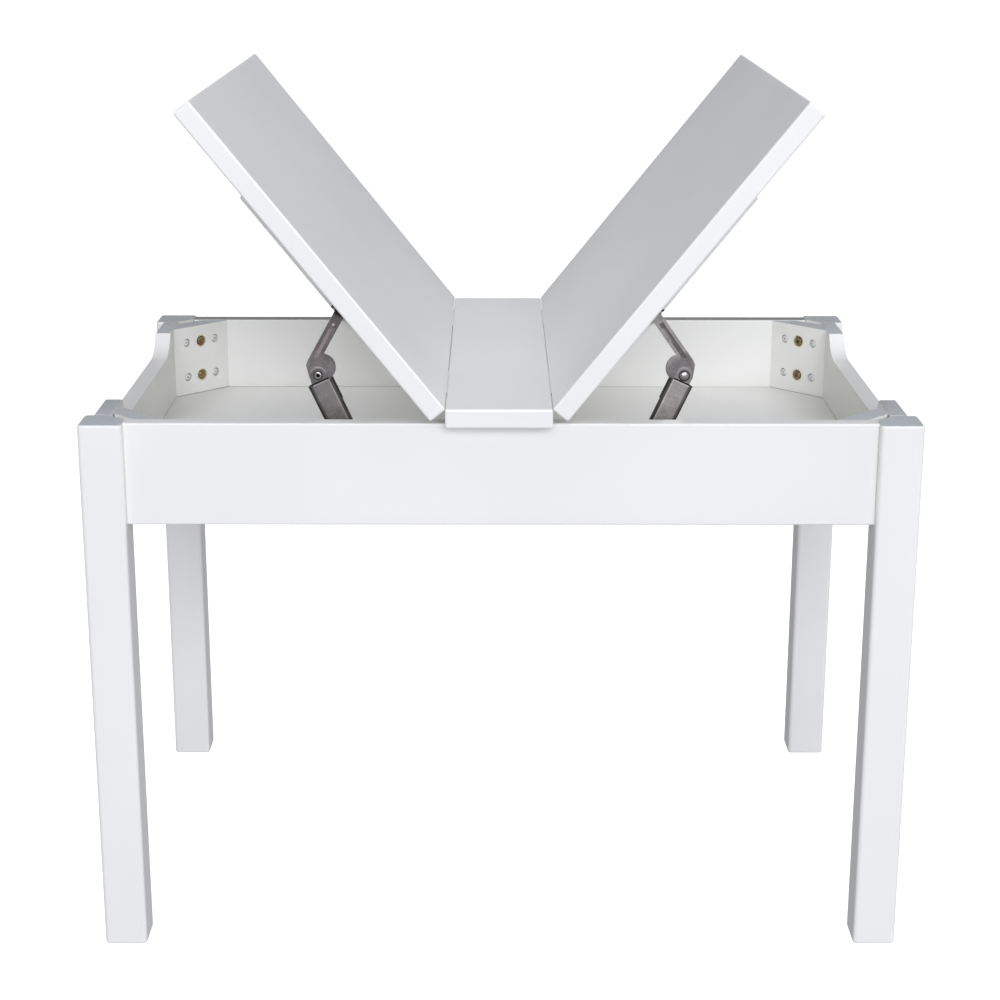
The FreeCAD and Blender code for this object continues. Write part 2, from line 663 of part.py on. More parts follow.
def make_batten(label, side, end, reach):
    """A stiffening batten: rounded inner end, bevelled outer end, screwed up into the flap."""
    body = new_body(label)
    middle = batten_middle(side, end)
    nose = S.batten_nose_radius
    elevation = sketch_on(body, "XZ_Plane", "Elevation", -middle)
    outline(elevation, [(S.batten_start + nose, batten_under),
                        (batten_end - S.batten_bevel_run, batten_under),
                        (batten_end, batten_under + S.batten_bevel_rise), (batten_end, flap_under),
                        (S.batten_start, flap_under), (S.batten_start, batten_under + nose, nose)])
    pad(body, elevation, S.batten_width, both_ways=True)
    heads = sketch_on(body, "XY_Plane", "Heads", batten_under)
    shanks = sketch_on(body, "XY_Plane", "Shanks", batten_under)
    for row in batten_screw_rows:
        circle(heads, row, middle, S.batten_screw_head_radius)
        circle(shanks, row, middle, S.batten_screw_radius)
    pocket(body, heads, S.batten_screw_head_height, reverse=True)
    pocket(body, shanks, S.batten_thickness, reverse=True)
    if reach:
        face = side * batten_front
        pilots = sketch_on(body, "XZ_Plane", "LugPilots", -face)
        for step in (-1, 1):
            circle(pilots, reach + step * S.lug_screw_pitch / 2, pivot_z, S.lug_screw_radius)
        pocket(body, pilots, S.lug_screw_length - S.lug_thickness, reverse=side < 0)
    body.Placement = flap_frame(side, S.open_angle)
    nodes.append(body)


def batten_screw_places(side):
    seat = batten_under + S.batten_screw_head_height
    return [flap_frame(side, S.open_angle) * along(Vector(row, batten_middle(side, end), seat), -AXIS_Z)
            for end in (-1, 1) for row in batten_screw_rows]


# ---- lid stays: where the four pivots of each stand ----

# Each is worked out in its side's own frame: u outward from the middle of the base, z up.
base_pivot = (S.base_x, panel_top + S.base_height)
stay_y = batten_front - S.stay_offset


def flap_pivot(side, reach, angle):
    tilt = math.radians(angle)
    hinge = float(axis_x) + side * float(S.top_shift)
    u = hinge + float(reach) * math.cos(tilt) - float(pivot_z) * math.sin(tilt)
    z = float(axis_z) + float(reach) * math.sin(tilt) + float(pivot_z) * math.cos(tilt)
    return u, z


def knee(side, reach, angle):
    """Where the arm and the channel meet: outside the line between their far pivots."""
    end_u, end_z = flap_pivot(side, reach, angle)
    du = end_u - float(base_pivot[0])
    dz = end_z - float(base_pivot[1])
    span = math.hypot(du, dz)
    foot = (float(S.stay_length) ** 2 - float(S.arm_length) ** 2 + span ** 2) / (2 * span)
    rise = math.sqrt(float(S.stay_length) ** 2 - foot ** 2)
    return (float(base_pivot[0]) + (foot * du + rise * dz) / span,
            float(base_pivot[1]) + (foot * dz - rise * du) / span)


def lean(start, end):
    """How far the way from start to end leans outward from upright, in degrees."""
    return math.degrees(math.atan2(end[0] - start[0], end[1] - start[1]))


def stay_frame(side, point, angle):
    """A stay part's own frame: Z along it, X outward, Y through the sheet."""
    local = Placement(Vector(point[0], 0, point[1]), Rotation(AXIS_Y, angle))
    turn = Rotation(AXIS_Z, 0 if side > 0 else HALF_TURN)
    return Placement(Vector(0, stay_y, 0), turn) * local


arm_rise = math.sqrt(float(S.arm_length) ** 2 - float(S.arm_shift) ** 2)
arm_cant = math.degrees(math.atan2(float(S.arm_shift), arm_rise))


def make_arm(label, placement):
    """The pressed arm: a ribbed bar, cranked to a round lobe and a disc about the knee rivet."""
    body = new_body(label)
    half = S.arm_width / 2
    bar = sketch_on(body, "XZ_Plane", "Bar")
    outline(bar, [(S.arm_shift - half, 0), (S.arm_shift + half, S.shoulder_rise),
                  (S.arm_shift + half, arm_rise, half), (S.arm_shift, arm_rise + half, half),
                  (S.arm_shift - half, arm_rise)])
    pad(body, bar, S.arm_thickness, both_ways=True)
    lobe = sketch_on(body, "XZ_Plane", "Lobe")
    circle(lobe, S.lobe_shift, S.lobe_rise, S.lobe_radius)
    pad(body, lobe, S.arm_thickness, both_ways=True)
    disc = sketch_on(body, "XZ_Plane", "KneeDisc")
    circle(disc, 0, 0, S.knee_radius)
    pad(body, disc, S.arm_thickness, both_ways=True)
    corner = (S.arm_shift + half - S.shoulder_cut_run, S.shoulder_rise - S.shoulder_cut_rise)
    tangent = tangent_point(corner, float(S.knee_radius))
    shoulder = sketch_on(body, "XZ_Plane", "Shoulder")
    outline(shoulder, [(0, 0), tangent, corner, (S.arm_shift + half, S.shoulder_rise),
                       (S.arm_shift, S.shoulder_rise + half)])
    pad(body, shoulder, S.arm_thickness, both_ways=True)
    bore(body, "KneeBore", Vector(0, -S.arm_thickness, 0), AXIS_Y,
         S.knee_rivet_radius + S.rivet_fit, 2 * S.arm_thickness)
    bore(body, "FlapBore", Vector(S.arm_shift, -S.arm_thickness, arm_rise), AXIS_Y,
         S.pivot_radius + S.rivet_fit, 2 * S.arm_thickness)
    groove = sketch_on(body, "XZ_Plane", "RibGroove", S.arm_thickness / 2)
    obround(groove, S.arm_shift, S.rib_start, S.rib_start + S.rib_length, S.rib_width / 2)
    pocket(body, groove, S.rib_height)
    rib = sketch_on(body, "XZ_Plane", "Rib", -S.arm_thickness / 2)
    obround(rib, S.arm_shift, S.rib_start, S.rib_start + S.rib_length, S.rib_width / 2)
    pad(body, rib, S.rib_height, reverse=True)
    body.Placement = placement
    nodes.append(body)


def tangent_point(point, radius):
    """Where the lower tangent from a point outside touches a circle about the origin."""
    distance = math.hypot(point[0], point[1])
    angle = math.atan2(point[1], point[0]) - math.acos(radius / distance)
    return radius * math.cos(angle), radius * math.sin(angle)


def make_channel(label, placement):
    """The lower link: a flat box section, open along one side for the arm, with two knee ears."""
    body = new_body(label)
    half = S.channel_width / 2
    inside = half - S.sheet
    taper = S.channel_taper - S.stay_length
    web = sketch_on(body, "XZ_Plane", "Web")
    outline(web, [(-half, taper), (-S.channel_end_radius, -S.stay_length, S.channel_end_radius),
                  (0, -S.stay_length - S.channel_end_radius, S.channel_end_radius),
                  (S.channel_end_radius, -S.stay_length), (half, taper), (half, -S.web_start),
                  (-half, -S.web_start)])
    pad(body, web, S.channel_depth, both_ways=True)
    ease(body, S.channel_bend,
         lambda middle, edge: near(abs(middle.x), half) and near(abs(middle.y), S.channel_depth / 2)
         and edge.Length > float(S.slot_length))
    hollow_depth = S.channel_depth - 2 * S.sheet
    below = S.stay_length + 2 * S.channel_end_radius
    primitive(body, "SubtractiveBox", "Hollow",
              Placement(Vector(-inside, -hollow_depth / 2, -below), Rotation()),
              Length=2 * inside, Width=hollow_depth, Height=below)
    primitive(body, "SubtractiveBox", "ArmSlot",
              Placement(Vector(-half, -hollow_depth / 2, -S.web_start - S.slot_length), Rotation()),
              Length=half, Width=hollow_depth, Height=S.web_start + S.slot_length)
    ear_face = S.arm_thickness / 2 + S.ear_clearance
    for name, side in (("Front", 1), ("Rear", -1)):
        ear = sketch_on(body, "XZ_Plane", name + "Ear", side * ear_face)
        outline(ear, [(-S.ear_radius, -S.ear_tail), (S.ear_radius, -S.ear_tail),
                      (S.ear_radius, 0, S.ear_radius), (0, S.ear_radius, S.ear_radius),
                      (-S.ear_radius, 0)])
        pad(body, ear, S.sheet, reverse=side < 0)
    bore(body, "KneeBore", Vector(0, -S.channel_depth, 0), AXIS_Y,
         S.knee_rivet_radius, 2 * S.channel_depth)
    bore(body, "BaseBore", Vector(0, -S.channel_depth, -S.stay_length), AXIS_Y,
         S.base_pin_radius, 2 * S.channel_depth)
    body.Placement = placement
    nodes.append(body)


def make_rivet(label, placement):
    """The knee rivet: domed at one end, hollow and flared at the other, along Y."""
    grip = S.arm_thickness / 2 + S.ear_clearance + S.sheet
    radius = S.knee_rivet_radius
    flare = S.rivet_flare_radius
    lip = S.rivet_lip
    crown = -grip - S.rivet_head_height
    solid = fastener([(0, crown), (S.rivet_head_radius * CROWN_START, crown),
                      (S.rivet_head_radius, -grip),
                      (radius, -grip), (radius, grip), (flare, grip), (flare, grip + lip),
                      (S.rivet_hollow_radius, grip + lip),
                      (S.rivet_hollow_radius, grip + lip - S.rivet_hollow_depth),
                      (0, grip + lip - S.rivet_hollow_depth)])
    nodes.append(group(label, solid, [placement * along(Vector(), AXIS_Y)]))


def make_base_pin(label, placement):
    """The pin across the base clevis, headed at both ends."""
    grip = S.channel_depth / 2 + S.bracket_gap + S.bracket_sheet + S.bracket_gap
    end = grip + S.base_pin_head_height
    profile = [(0, -end), (S.base_pin_head_radius, -end), (S.base_pin_head_radius, -grip),
               (S.base_pin_radius, -grip), (S.base_pin_radius, grip),
               (S.base_pin_head_radius, grip), (S.base_pin_head_radius, end), (0, end)]
    nodes.append(group(label, fastener(profile), [placement * along(Vector(), AXIS_Y)]))


def make_base_bracket(label, placement):
    """The clevis on the tray: a foot and two ears, slotted so that the pin can settle."""
    body = new_body(label)
    inner = S.channel_depth / 2 + S.bracket_gap
    outer = inner + S.bracket_sheet
    ear_half = S.bracket_ear_width / 2
    shoulder = S.base_height + S.bracket_ear_rise - ear_half
    profile = sketch_on(body, "XZ_Plane", "Ears")
    outline(profile, [(-ear_half, 0), (ear_half, 0), (ear_half, shoulder, ear_half),
                      (0, shoulder + ear_half, ear_half), (-ear_half, shoulder)])
    pad(body, profile, 2 * outer, both_ways=True)
    primitive(body, "SubtractiveBox", "Gap",
              Placement(Vector(-ear_half, -inner, S.bracket_sheet), Rotation()),
              Length=2 * ear_half, Width=2 * inner, Height=S.base_height + S.bracket_ear_rise)
    primitive(body, "AdditiveBox", "Foot",
              Placement(Vector(-S.bracket_foot / 2, -outer, 0), Rotation()),
              Length=S.bracket_foot, Width=2 * outer, Height=S.bracket_sheet)
    slot = sketch_on(body, "XZ_Plane", "PinSlot")
    obround(slot, 0, S.base_height - S.bracket_slot_travel, S.base_height, S.bracket_slot_radius)
    pocket(body, slot, 2 * outer, both_ways=True)
    holes = sketch_on(body, "XY_Plane", "ScrewHoles", S.bracket_sheet)
    for end in (-1, 1):
        circle(holes, end * S.bracket_screw_pitch / 2, 0, S.panel_screw_radius)
    pocket(body, holes, S.bracket_sheet)
    body.Placement = placement
    nodes.append(body)


def make_lug(label, side, reach):
    """The plate on the batten that carries the arm's pivot, in the flap's own frame."""
    body = new_body(label)
    half = S.lug_height / 2
    straight = S.lug_length / 2 - half
    face = side * batten_front
    plate = sketch_on(body, "XZ_Plane", "Plate", -face)
    outline(plate, [(reach - straight, pivot_z - half), (reach + straight, pivot_z - half, half),
                    (reach + straight + half, pivot_z, half), (reach + straight, pivot_z + half),
                    (reach - straight, pivot_z + half, half), (reach - straight - half, pivot_z, half)])
    pad(body, plate, S.lug_thickness, reverse=side < 0)
    for name, offsets, radius in (("Screws", (-1, 1), S.lug_screw_radius),
                                  ("Pivot", (0,), S.pivot_radius)):
        holes = sketch_on(body, "XZ_Plane", name, -face + side * S.lug_thickness)
        for step in offsets:
            circle(holes, reach + step * S.lug_screw_pitch / 2, pivot_z, radius)
        pocket(body, holes, S.lug_thickness, reverse=side < 0)
    body.Placement = flap_frame(side, S.open_angle)
    nodes.append(body)


def make_flap_pivot(label, side, reach):
    """A shouldered rivet: riveted in the lug, with the arm turning under its head."""
    near_face = S.stay_offset - S.arm_thickness / 2 - S.ear_clearance
    far_face = S.stay_offset + S.arm_thickness / 2 + S.ear_clearance
    end = far_face + S.pivot_head_height
    profile = [(0, 0), (S.pivot_radius, 0), (S.pivot_radius, S.lug_thickness),
               (S.pivot_shoulder_radius, S.lug_thickness), (S.pivot_shoulder_radius, near_face),
               (S.pivot_radius, near_face), (S.pivot_radius, far_face),
               (S.pivot_head_radius, far_face), (S.pivot_head_radius, end), (0, end)]
    place = flap_frame(side, S.open_angle) * along(
        Vector(reach, side * batten_front, pivot_z), Vector(0, -side, 0))
    nodes.append(group(label, fastener(profile), [place]))


def lug_screw_places(side, reach):
    return [flap_frame(side, S.open_angle) * along(
        Vector(reach + step * S.lug_screw_pitch / 2, side * (batten_front - S.lug_thickness), pivot_z),
        Vector(0, -side, 0)) for step in (-1, 1)]


# ---- one flap with its battens, hinges and stay, on each side ----

for name, side, reach in (("left", -1, S.stay_reach_left), ("right", 1, S.stay_reach_right)):
    open_frame = flap_frame(side, S.open_angle)
    closed_frame = flap_frame(side, 0)
    make_flap(f"flap_{name}", side)
    make_batten(f"batten_{name}_front", side, -1, reach)
    make_batten(f"batten_{name}_rear", side, 1, None)
    nodes.append(group(f"batten_screws_{name}", pan_screw(
        S.batten_screw_radius, S.batten_screw_length - S.batten_screw_head_height,
        S.batten_screw_head_radius, S.batten_screw_head_height), batten_screw_places(side)))

    for end, end_name in ((-1, "front"), (1, "rear")):
        middle = Placement(Vector(0, side * end * hinge_reach, 0), Rotation())
        make_leaf(f"hinge_{name}_{end_name}_strip_leaf", STRIP_KNUCKLES, -1, closed_frame * middle)
        make_leaf(f"hinge_{name}_{end_name}_flap_leaf", FLAP_KNUCKLES, 1, open_frame * middle)
    pin = fastener([(0, 0), (S.hinge_pin_radius, 0), (S.hinge_pin_radius, -S.hinge_length),
                    (0, -S.hinge_length)])
    nodes.append(group(f"hinge_pins_{name}", pin, [
        closed_frame * along(Vector(0, middle - S.hinge_length / 2, 0), -AXIS_Y)
        for middle in hinge_middles]))
    nodes.append(group(f"hinge_flap_screws_{name}", leaf_screw, leaf_screw_places(1, open_frame)))

    pivot = flap_pivot(side, reach, S.open_angle)
    bend = knee(side, reach, S.open_angle)
    channel_place = stay_frame(side, bend, lean(base_pivot, bend))
    make_arm(f"stay_arm_{name}", stay_frame(side, bend, lean(bend, pivot) - arm_cant))
    make_channel(f"stay_channel_{name}", channel_place)
    make_rivet(f"stay_knee_rivet_{name}", channel_place)
    make_base_pin(f"stay_base_pin_{name}", stay_frame(side, base_pivot, 0))
    make_base_bracket(f"stay_base_bracket_{name}", stay_frame(side, (S.base_x, panel_top), 0))
    make_lug(f"stay_flap_bracket_{name}", side, reach)
    make_flap_pivot(f"stay_flap_pivot_{name}", side, reach)
    nodes.append(group(f"stay_flap_screws_{name}", pan_screw(
        S.lug_screw_radius, S.lug_screw_length, S.lug_screw_head_radius,
        S.lug_screw_head_height), lug_screw_places(side, reach)))

nodes.append(group("hinge_strip_screws", leaf_screw, [
    place for side in (-1, 1) for place in leaf_screw_places(-1, flap_frame(side, 0))]))
nodes.append(group("stay_base_screws", pan_screw(
    S.panel_screw_radius, S.panel_screw_length + S.bracket_sheet, S.panel_screw_head_radius,
    S.panel_screw_head_height), [
        Placement(Vector(side * S.base_x + end * S.bracket_screw_pitch / 2, stay_y,
                         panel_top + S.bracket_sheet), Rotation())
        for side in (-1, 1) for end in (-1, 1)]))


# ---- checks, then one file for each node ----

doc.recompute()
for item in doc.Objects:
    if "Invalid" in item.State or "Error" in item.State:
        raise RuntimeError(f"{item.Label} failed: {item.State}")
os.makedirs("parts", exist_ok=True)
for node in nodes:
    if node.Shape.isNull() or not node.Shape.isValid():
        raise RuntimeError(f"{node.Label} has no valid shape")
    node.Shape.exportStep(f"parts/{node.Label}.step")
    print(f"{node.Label}: {len(node.Shape.Solids)} solids, {node.Shape.Volume:.0f} mm3")
print(f"{len(nodes)} nodes")
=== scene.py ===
import json
import math

import bmesh
import bpy
from mathutils import Matrix, Vector


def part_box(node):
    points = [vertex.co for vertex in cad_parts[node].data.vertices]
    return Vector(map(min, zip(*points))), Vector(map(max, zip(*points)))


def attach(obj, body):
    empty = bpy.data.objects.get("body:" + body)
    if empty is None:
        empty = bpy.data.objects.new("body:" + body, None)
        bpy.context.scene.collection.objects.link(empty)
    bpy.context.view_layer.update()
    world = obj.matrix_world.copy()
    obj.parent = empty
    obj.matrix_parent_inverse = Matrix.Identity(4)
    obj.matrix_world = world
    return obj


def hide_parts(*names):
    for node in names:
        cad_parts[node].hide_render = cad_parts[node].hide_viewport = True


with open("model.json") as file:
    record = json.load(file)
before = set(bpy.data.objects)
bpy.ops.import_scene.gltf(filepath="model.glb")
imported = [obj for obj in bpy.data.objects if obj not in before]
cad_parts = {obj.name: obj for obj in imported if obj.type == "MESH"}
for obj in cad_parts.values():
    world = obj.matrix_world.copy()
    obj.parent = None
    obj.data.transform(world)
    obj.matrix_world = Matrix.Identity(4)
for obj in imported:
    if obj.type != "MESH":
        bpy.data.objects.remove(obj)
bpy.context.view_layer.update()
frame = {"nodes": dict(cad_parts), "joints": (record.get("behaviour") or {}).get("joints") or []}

nodes = frame["nodes"]

# ---- Camera ----
# It stands 2.4 m in front of the table's middle at chest height, a little to the left of it, and
# looks down at it through a short telephoto lens.
LOOK_DOWN = 0.28704
camera_data = bpy.data.cameras.new("camera")
camera_data.sensor_width = 36.0
camera_data.lens = 74.90
camera_data.clip_end = 200.0
camera = bpy.data.objects.new("camera", camera_data)
camera.location = (-0.00845, -2.36845, 1.12881)
camera.rotation_euler = (math.pi / 2 - LOOK_DOWN, -0.00171, -0.00298)
bpy.context.scene.collection.objects.link(camera)
bpy.context.scene.camera = camera
bpy.context.scene.view_settings.view_transform = "Standard"


# ---- Studio ----
# A sweep of white paper that glows evenly, one large soft box low in front with a weaker one to its
# right, a pair high at the sides, one low on the right, and a room that is paler below the horizon.
# The daylight of all of them is a touch cool.
def linear(colour):
    """The linear red, green, blue and alpha of an sRGB hex colour."""
    parts = [int(colour[i:i + 2], 16) / 255 for i in (1, 3, 5)]
    return [p / 12.92 if p <= 0.04045 else ((p + 0.055) / 1.055) ** 2.4 for p in parts] + [1.0]


def add(tree, kind, settings=None, **inputs):
    """Adds a node to a tree. A setting is a property of the node. An input is a value, or the
    socket that feeds it. In an input's name underscores stand for spaces, and i0 for its index."""
    node = tree.nodes.new(kind)
    for name, value in (settings or {}).items():
        setattr(node, name, value)
    for name, value in inputs.items():
        at = int(name[1:]) if name[0] == "i" and name[1:].isdigit() else name.replace("_", " ")
        if isinstance(value, bpy.types.NodeSocket):
            tree.links.new(value, node.inputs[at])
        else:
            node.inputs[at].default_value = value
    return node


DAYLIGHT = "#F3F4FF"
sweep = bpy.data.materials.new("white_paper_sweep")
sweep.use_nodes = True
paper = sweep.node_tree.nodes["Principled BSDF"]
paper.inputs["Base Color"].default_value = linear("#A8A8A8")
paper.inputs["Roughness"].default_value = 0.9
paper.inputs["Specular IOR Level"].default_value = 0.0
paper.inputs["Emission Color"].default_value = linear("#FFFFFF")
paper.inputs["Emission Strength"].default_value = 1.02
PAPER_REACH = 60.0
paper_corners = [(x * PAPER_REACH, y * PAPER_REACH, 0)
                 for x, y in ((-1, -1), (1, -1), (1, 1), (-1, 1))]
sweep_mesh = bpy.data.meshes.new("paper_sweep")
sweep_mesh.from_pydata(paper_corners, [], [(0, 1, 2, 3)])
sweep_mesh.materials.append(sweep)
# The paper is only looked at: the room's paler lower half is what lights the table from below.
floor = bpy.data.objects.new("paper_sweep", sweep_mesh)
floor.visible_diffuse = False
floor.visible_glossy = False
floor.visible_shadow = False
bpy.context.scene.collection.objects.link(floor)

room = bpy.data.worlds.new("room")
room.use_nodes = True
bpy.context.scene.world = room
sky = add(room.node_tree, "ShaderNodeTexCoord")
height = add(room.node_tree, "ShaderNodeSeparateXYZ", Vector=sky.outputs["Generated"])
above = add(room.node_tree, "ShaderNodeMapRange", Value=height.outputs["Z"], From_Min=-0.02,
            From_Max=0.02, To_Min=0.407, To_Max=0.288)
room.node_tree.links.new(above.outputs["Result"],
                         room.node_tree.nodes["Background"].inputs["Strength"])
room.node_tree.nodes["Background"].inputs["Color"].default_value = linear(DAYLIGHT)

LAMP_DISTANCE = 9.0
TABLE_MIDDLE = Vector((0, 0, 0.5))
for name, azimuth, elevation, power in (
        ("front_softbox", 0, 20, 449.0), ("front_right_softbox", 20, 20, 181.0),
        ("right_high_softbox", 80, 58, 173.0), ("left_high_softbox", -80, 58, 173.0),
        ("right_low_softbox", 80, 8, 92.0)):
    lamp = bpy.data.lights.new(name, "AREA")
    lamp.shape = "RECTANGLE"
    lamp.size, lamp.size_y = 5.0, 4.0
    lamp.energy = power
    lamp.color = linear(DAYLIGHT)[:3]
    turn, rise = math.radians(azimuth), math.radians(elevation)
    away = Vector((math.sin(turn) * math.cos(rise), -math.cos(turn) * math.cos(rise),
                   math.sin(rise)))
    holder = bpy.data.objects.new(name, lamp)
    holder.location = TABLE_MIDDLE + LAMP_DISTANCE * away
    holder.rotation_euler = (-away).to_track_quat("-Z", "Y").to_euler()
    bpy.context.scene.collection.objects.link(holder)


# ---- Legs ----
# Four square posts of a close-grained hardwood, their long edges rounded over and the inner top
# corners cut off for the bolts. Sanded, primed and sprayed with a satin white lacquer.
def new_finish(name):
    """A material, its tree and its Principled shader."""
    material = bpy.data.materials.new(name)
    material.use_nodes = True
    return material, material.node_tree, material.node_tree.nodes["Principled BSDF"]


# The part of its range in which most of a noise lies, over which one tone turns to the other.
SPREAD = (0.35, 0.65)


def white_lacquer(name, grain_turn, grain=0.05, thin="#EEEEE7", full="#F1F1EA", joint=0.42):
    """Satin white lacquer, sprayed. The eye gets an even, slightly warm white, a broad soft sheen
    with the faint ripple of the spray in it, a hint of the wood's grain under it, which runs along
    X once the coordinates are turned, and painted shade in the joints: a thin grey line wherever
    another surface lies within 3 mm, where the given share of the tone is left."""
    material, tree, surface = new_finish(name)
    place = add(tree, "ShaderNodeTexCoord").outputs["Object"]
    # Pores 1.1 mm apart and 37 mm long.
    turned = add(tree, "ShaderNodeMapping", Vector=place, Rotation=grain_turn)
    along = add(tree, "ShaderNodeMapping", Vector=turned.outputs["Vector"], Scale=(0.03, 1.0, 1.0))
    pores = add(tree, "ShaderNodeTexNoise", Vector=along.outputs["Vector"], Scale=900.0, Detail=3.0)
    # Spray ripple 3 mm across, and thicker and thinner passes of the gun 250 mm apart.
    ripple = add(tree, "ShaderNodeTexNoise", Vector=place, Scale=350.0, Detail=1.0)
    passes = add(tree, "ShaderNodeTexNoise", Vector=place, Scale=4.0, Detail=2.0)
    tone = add(tree, "ShaderNodeValToRGB", Fac=passes.outputs["Fac"])
    for stop, at, colour in zip(tone.color_ramp.elements, SPREAD, (thin, full)):
        stop.position, stop.color = at, linear(colour)
    # Painted shade in the joints: the tone is darkened within 3 mm of where two boards meet.
    open_air = add(tree, "ShaderNodeAmbientOcclusion", {"samples": 8}, Distance=0.003)
    painted_joint_shade = add(tree, "ShaderNodeMapRange", Value=open_air.outputs["AO"], From_Min=0.30,
                  From_Max=0.62, To_Min=joint, To_Max=1.0)
    coat = add(tree, "ShaderNodeVectorMath", {"operation": "SCALE"}, Vector=tone.outputs["Color"],
               Scale=painted_joint_shade.outputs["Result"])
    tree.links.new(coat.outputs["Vector"], surface.inputs["Base Color"])
    sheen = add(tree, "ShaderNodeMapRange", Value=passes.outputs["Fac"], To_Min=0.34, To_Max=0.42)
    tree.links.new(sheen.outputs["Result"], surface.inputs["Roughness"])
    surface.inputs["IOR"].default_value = 1.5
    lines = add(tree, "ShaderNodeBump", Height=pores.outputs["Fac"], Strength=grain,
                Distance=0.0004)
    skin = add(tree, "ShaderNodeBump", Height=ripple.outputs["Fac"], Strength=0.06,
               Distance=0.0005, Normal=lines.outputs["Normal"])
    tree.links.new(skin.outputs["Normal"], surface.inputs["Normal"])
    return material


def top_shade_painted_lacquer(name, grain_turn, node_name, dark, light, below=0.0002):
    """The white lacquer with painted shade on the top of a solid: a darker tone there, as if the
    top
    lay in shade. It is full from a little below the top up, and starts half a millimetre under
    that:
    the eye gets a painted darker line along a rail's edge, and a greyer end of a post."""
    material = white_lacquer(name, grain_turn)
    tree = material.node_tree
    surface = tree.nodes["Principled BSDF"]
    place = add(tree, "ShaderNodeTexCoord").outputs["Object"]
    height = add(tree, "ShaderNodeSeparateXYZ", Vector=place)
    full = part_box(node_name)[1].z - below
    top = add(tree, "ShaderNodeMapRange", Value=height.outputs["Z"], From_Min=full - 0.0005,
              From_Max=full)
    # Mottling 4 mm across in the painted shade.
    dust = add(tree, "ShaderNodeTexNoise", Vector=place, Scale=260.0, Detail=3.0)
    shade_tone = add(tree, "ShaderNodeValToRGB", Fac=dust.outputs["Fac"])
    for stop, at, colour in zip(shade_tone.color_ramp.elements, SPREAD, (dark, light)):
        stop.position, stop.color = at, linear(colour)
    shown = add(tree, "ShaderNodeMix", {"data_type": "RGBA"}, i0=top.outputs["Result"],
                i6=surface.inputs["Base Color"].links[0].from_socket, i7=shade_tone.outputs["Color"])
    tree.links.new(shown.outputs[2], surface.inputs["Base Color"])
    return material


# The posts' tops are painted greyer: painted shade, where the open flaps keep the light off them.
upright_grain = top_shade_painted_lacquer("white_lacquer_upright_grain_painted_top_shade", (0, math.pi / 2, 0),
                               "leg_front_left", "#BFC5C3", "#C9CECC")
long_grain = white_lacquer("white_lacquer_long_grain", (0, 0, 0))
cross_grain = white_lacquer("white_lacquer_cross_grain", (0, 0, math.pi / 2), joint=1.0)


def dress(node_name, finish):
    """Gives a solid of the frame its finish."""
    slots = nodes[node_name].data.materials
    slots.clear()
    slots.append(finish)


CORNERS = (("front_left", -1, -1), ("front_right", 1, -1), ("rear_right", 1, 1),
           ("rear_left", -1, 1))
for corner, side_x, side_y in CORNERS:
    dress("leg_" + corner, upright_grain)


# ---- Aprons ----
# Four rails of 19 mm board between the legs, grooved inside for the tray. The short ones dip in the
# middle for the fingers, and that cut is sanded round like their other edges.
def merged(node_name):
    """A copy of a solid's mesh with its doubled points merged and its flat faces whole."""
    shape = bmesh.new()
    shape.from_mesh(nodes[node_name].data)
    bmesh.ops.remove_doubles(shape, verts=shape.verts, dist=2e-6)
    bmesh.ops.dissolve_limit(shape, angle_limit=math.radians(0.5), verts=shape.verts,
                             edges=shape.edges)
    for face in shape.faces:
        face.material_index = 0
    return shape


# Edges that turn by more than this are sharp, and are eased.
SHARP = math.radians(35)


def eased_copy(node_name, width, finish, body):
    """A copy of a solid with its sharp edges sanded round, which stands for it."""
    shape = merged(node_name)
    mesh = bpy.data.meshes.new(node_name + "_eased")
    shape.to_mesh(mesh)
    shape.free()
    mesh.shade_smooth()
    mesh.set_sharp_from_angle(angle=SHARP)
    mesh.materials.append(finish)
    piece = bpy.data.objects.new(node_name + "_eased", mesh)
    bpy.context.scene.collection.objects.link(piece)
    round_over = piece.modifiers.new("round_over", "BEVEL")
    round_over.width = width
    round_over.segments = 3
    round_over.limit_method = "ANGLE"
    round_over.angle_limit = SHARP
    round_over.harden_normals = True
    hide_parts(node_name)
    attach(piece, body)


dress("apron_front", long_grain)
# The back rail's top edge is painted a darker grey: painted shade along it.
dress("apron_back", top_shade_painted_lacquer("white_lacquer_painted_shade_top_edge", (0, 0, 0), "apron_back", "#97948D",
                                   "#A5A29B", below=0.0004))
# The side rails are painted greyer on top too: painted shade.
painted_top_shade = top_shade_painted_lacquer("white_lacquer_cross_grain_painted_top_shade", (0, 0, math.pi / 2),
                             "apron_left", "#C3C8C6", "#CDD1CF")
for side in ("left", "right"):
    eased_copy("apron_" + side, 0.0015, painted_top_shade, "frame")


# ---- Corner blocks ----
# Offcuts of the same hardwood, mitred at both ends, screwed across each corner and sprayed with the
# rest. The bolt holes were counterbored afterwards, so their walls are bare pale wood.
DIAGONAL = math.sqrt(0.5)
# The bolts' heads stand here in the right rear block, one row above their middle level, one below.
BOLT_X, BOLT_Y = 0.38193, 0.23193
BOLT_LEVEL, ROW_REACH = 0.551, 0.022
BARE_RADIUS, BARE_EDGE = 0.0085, 0.0006


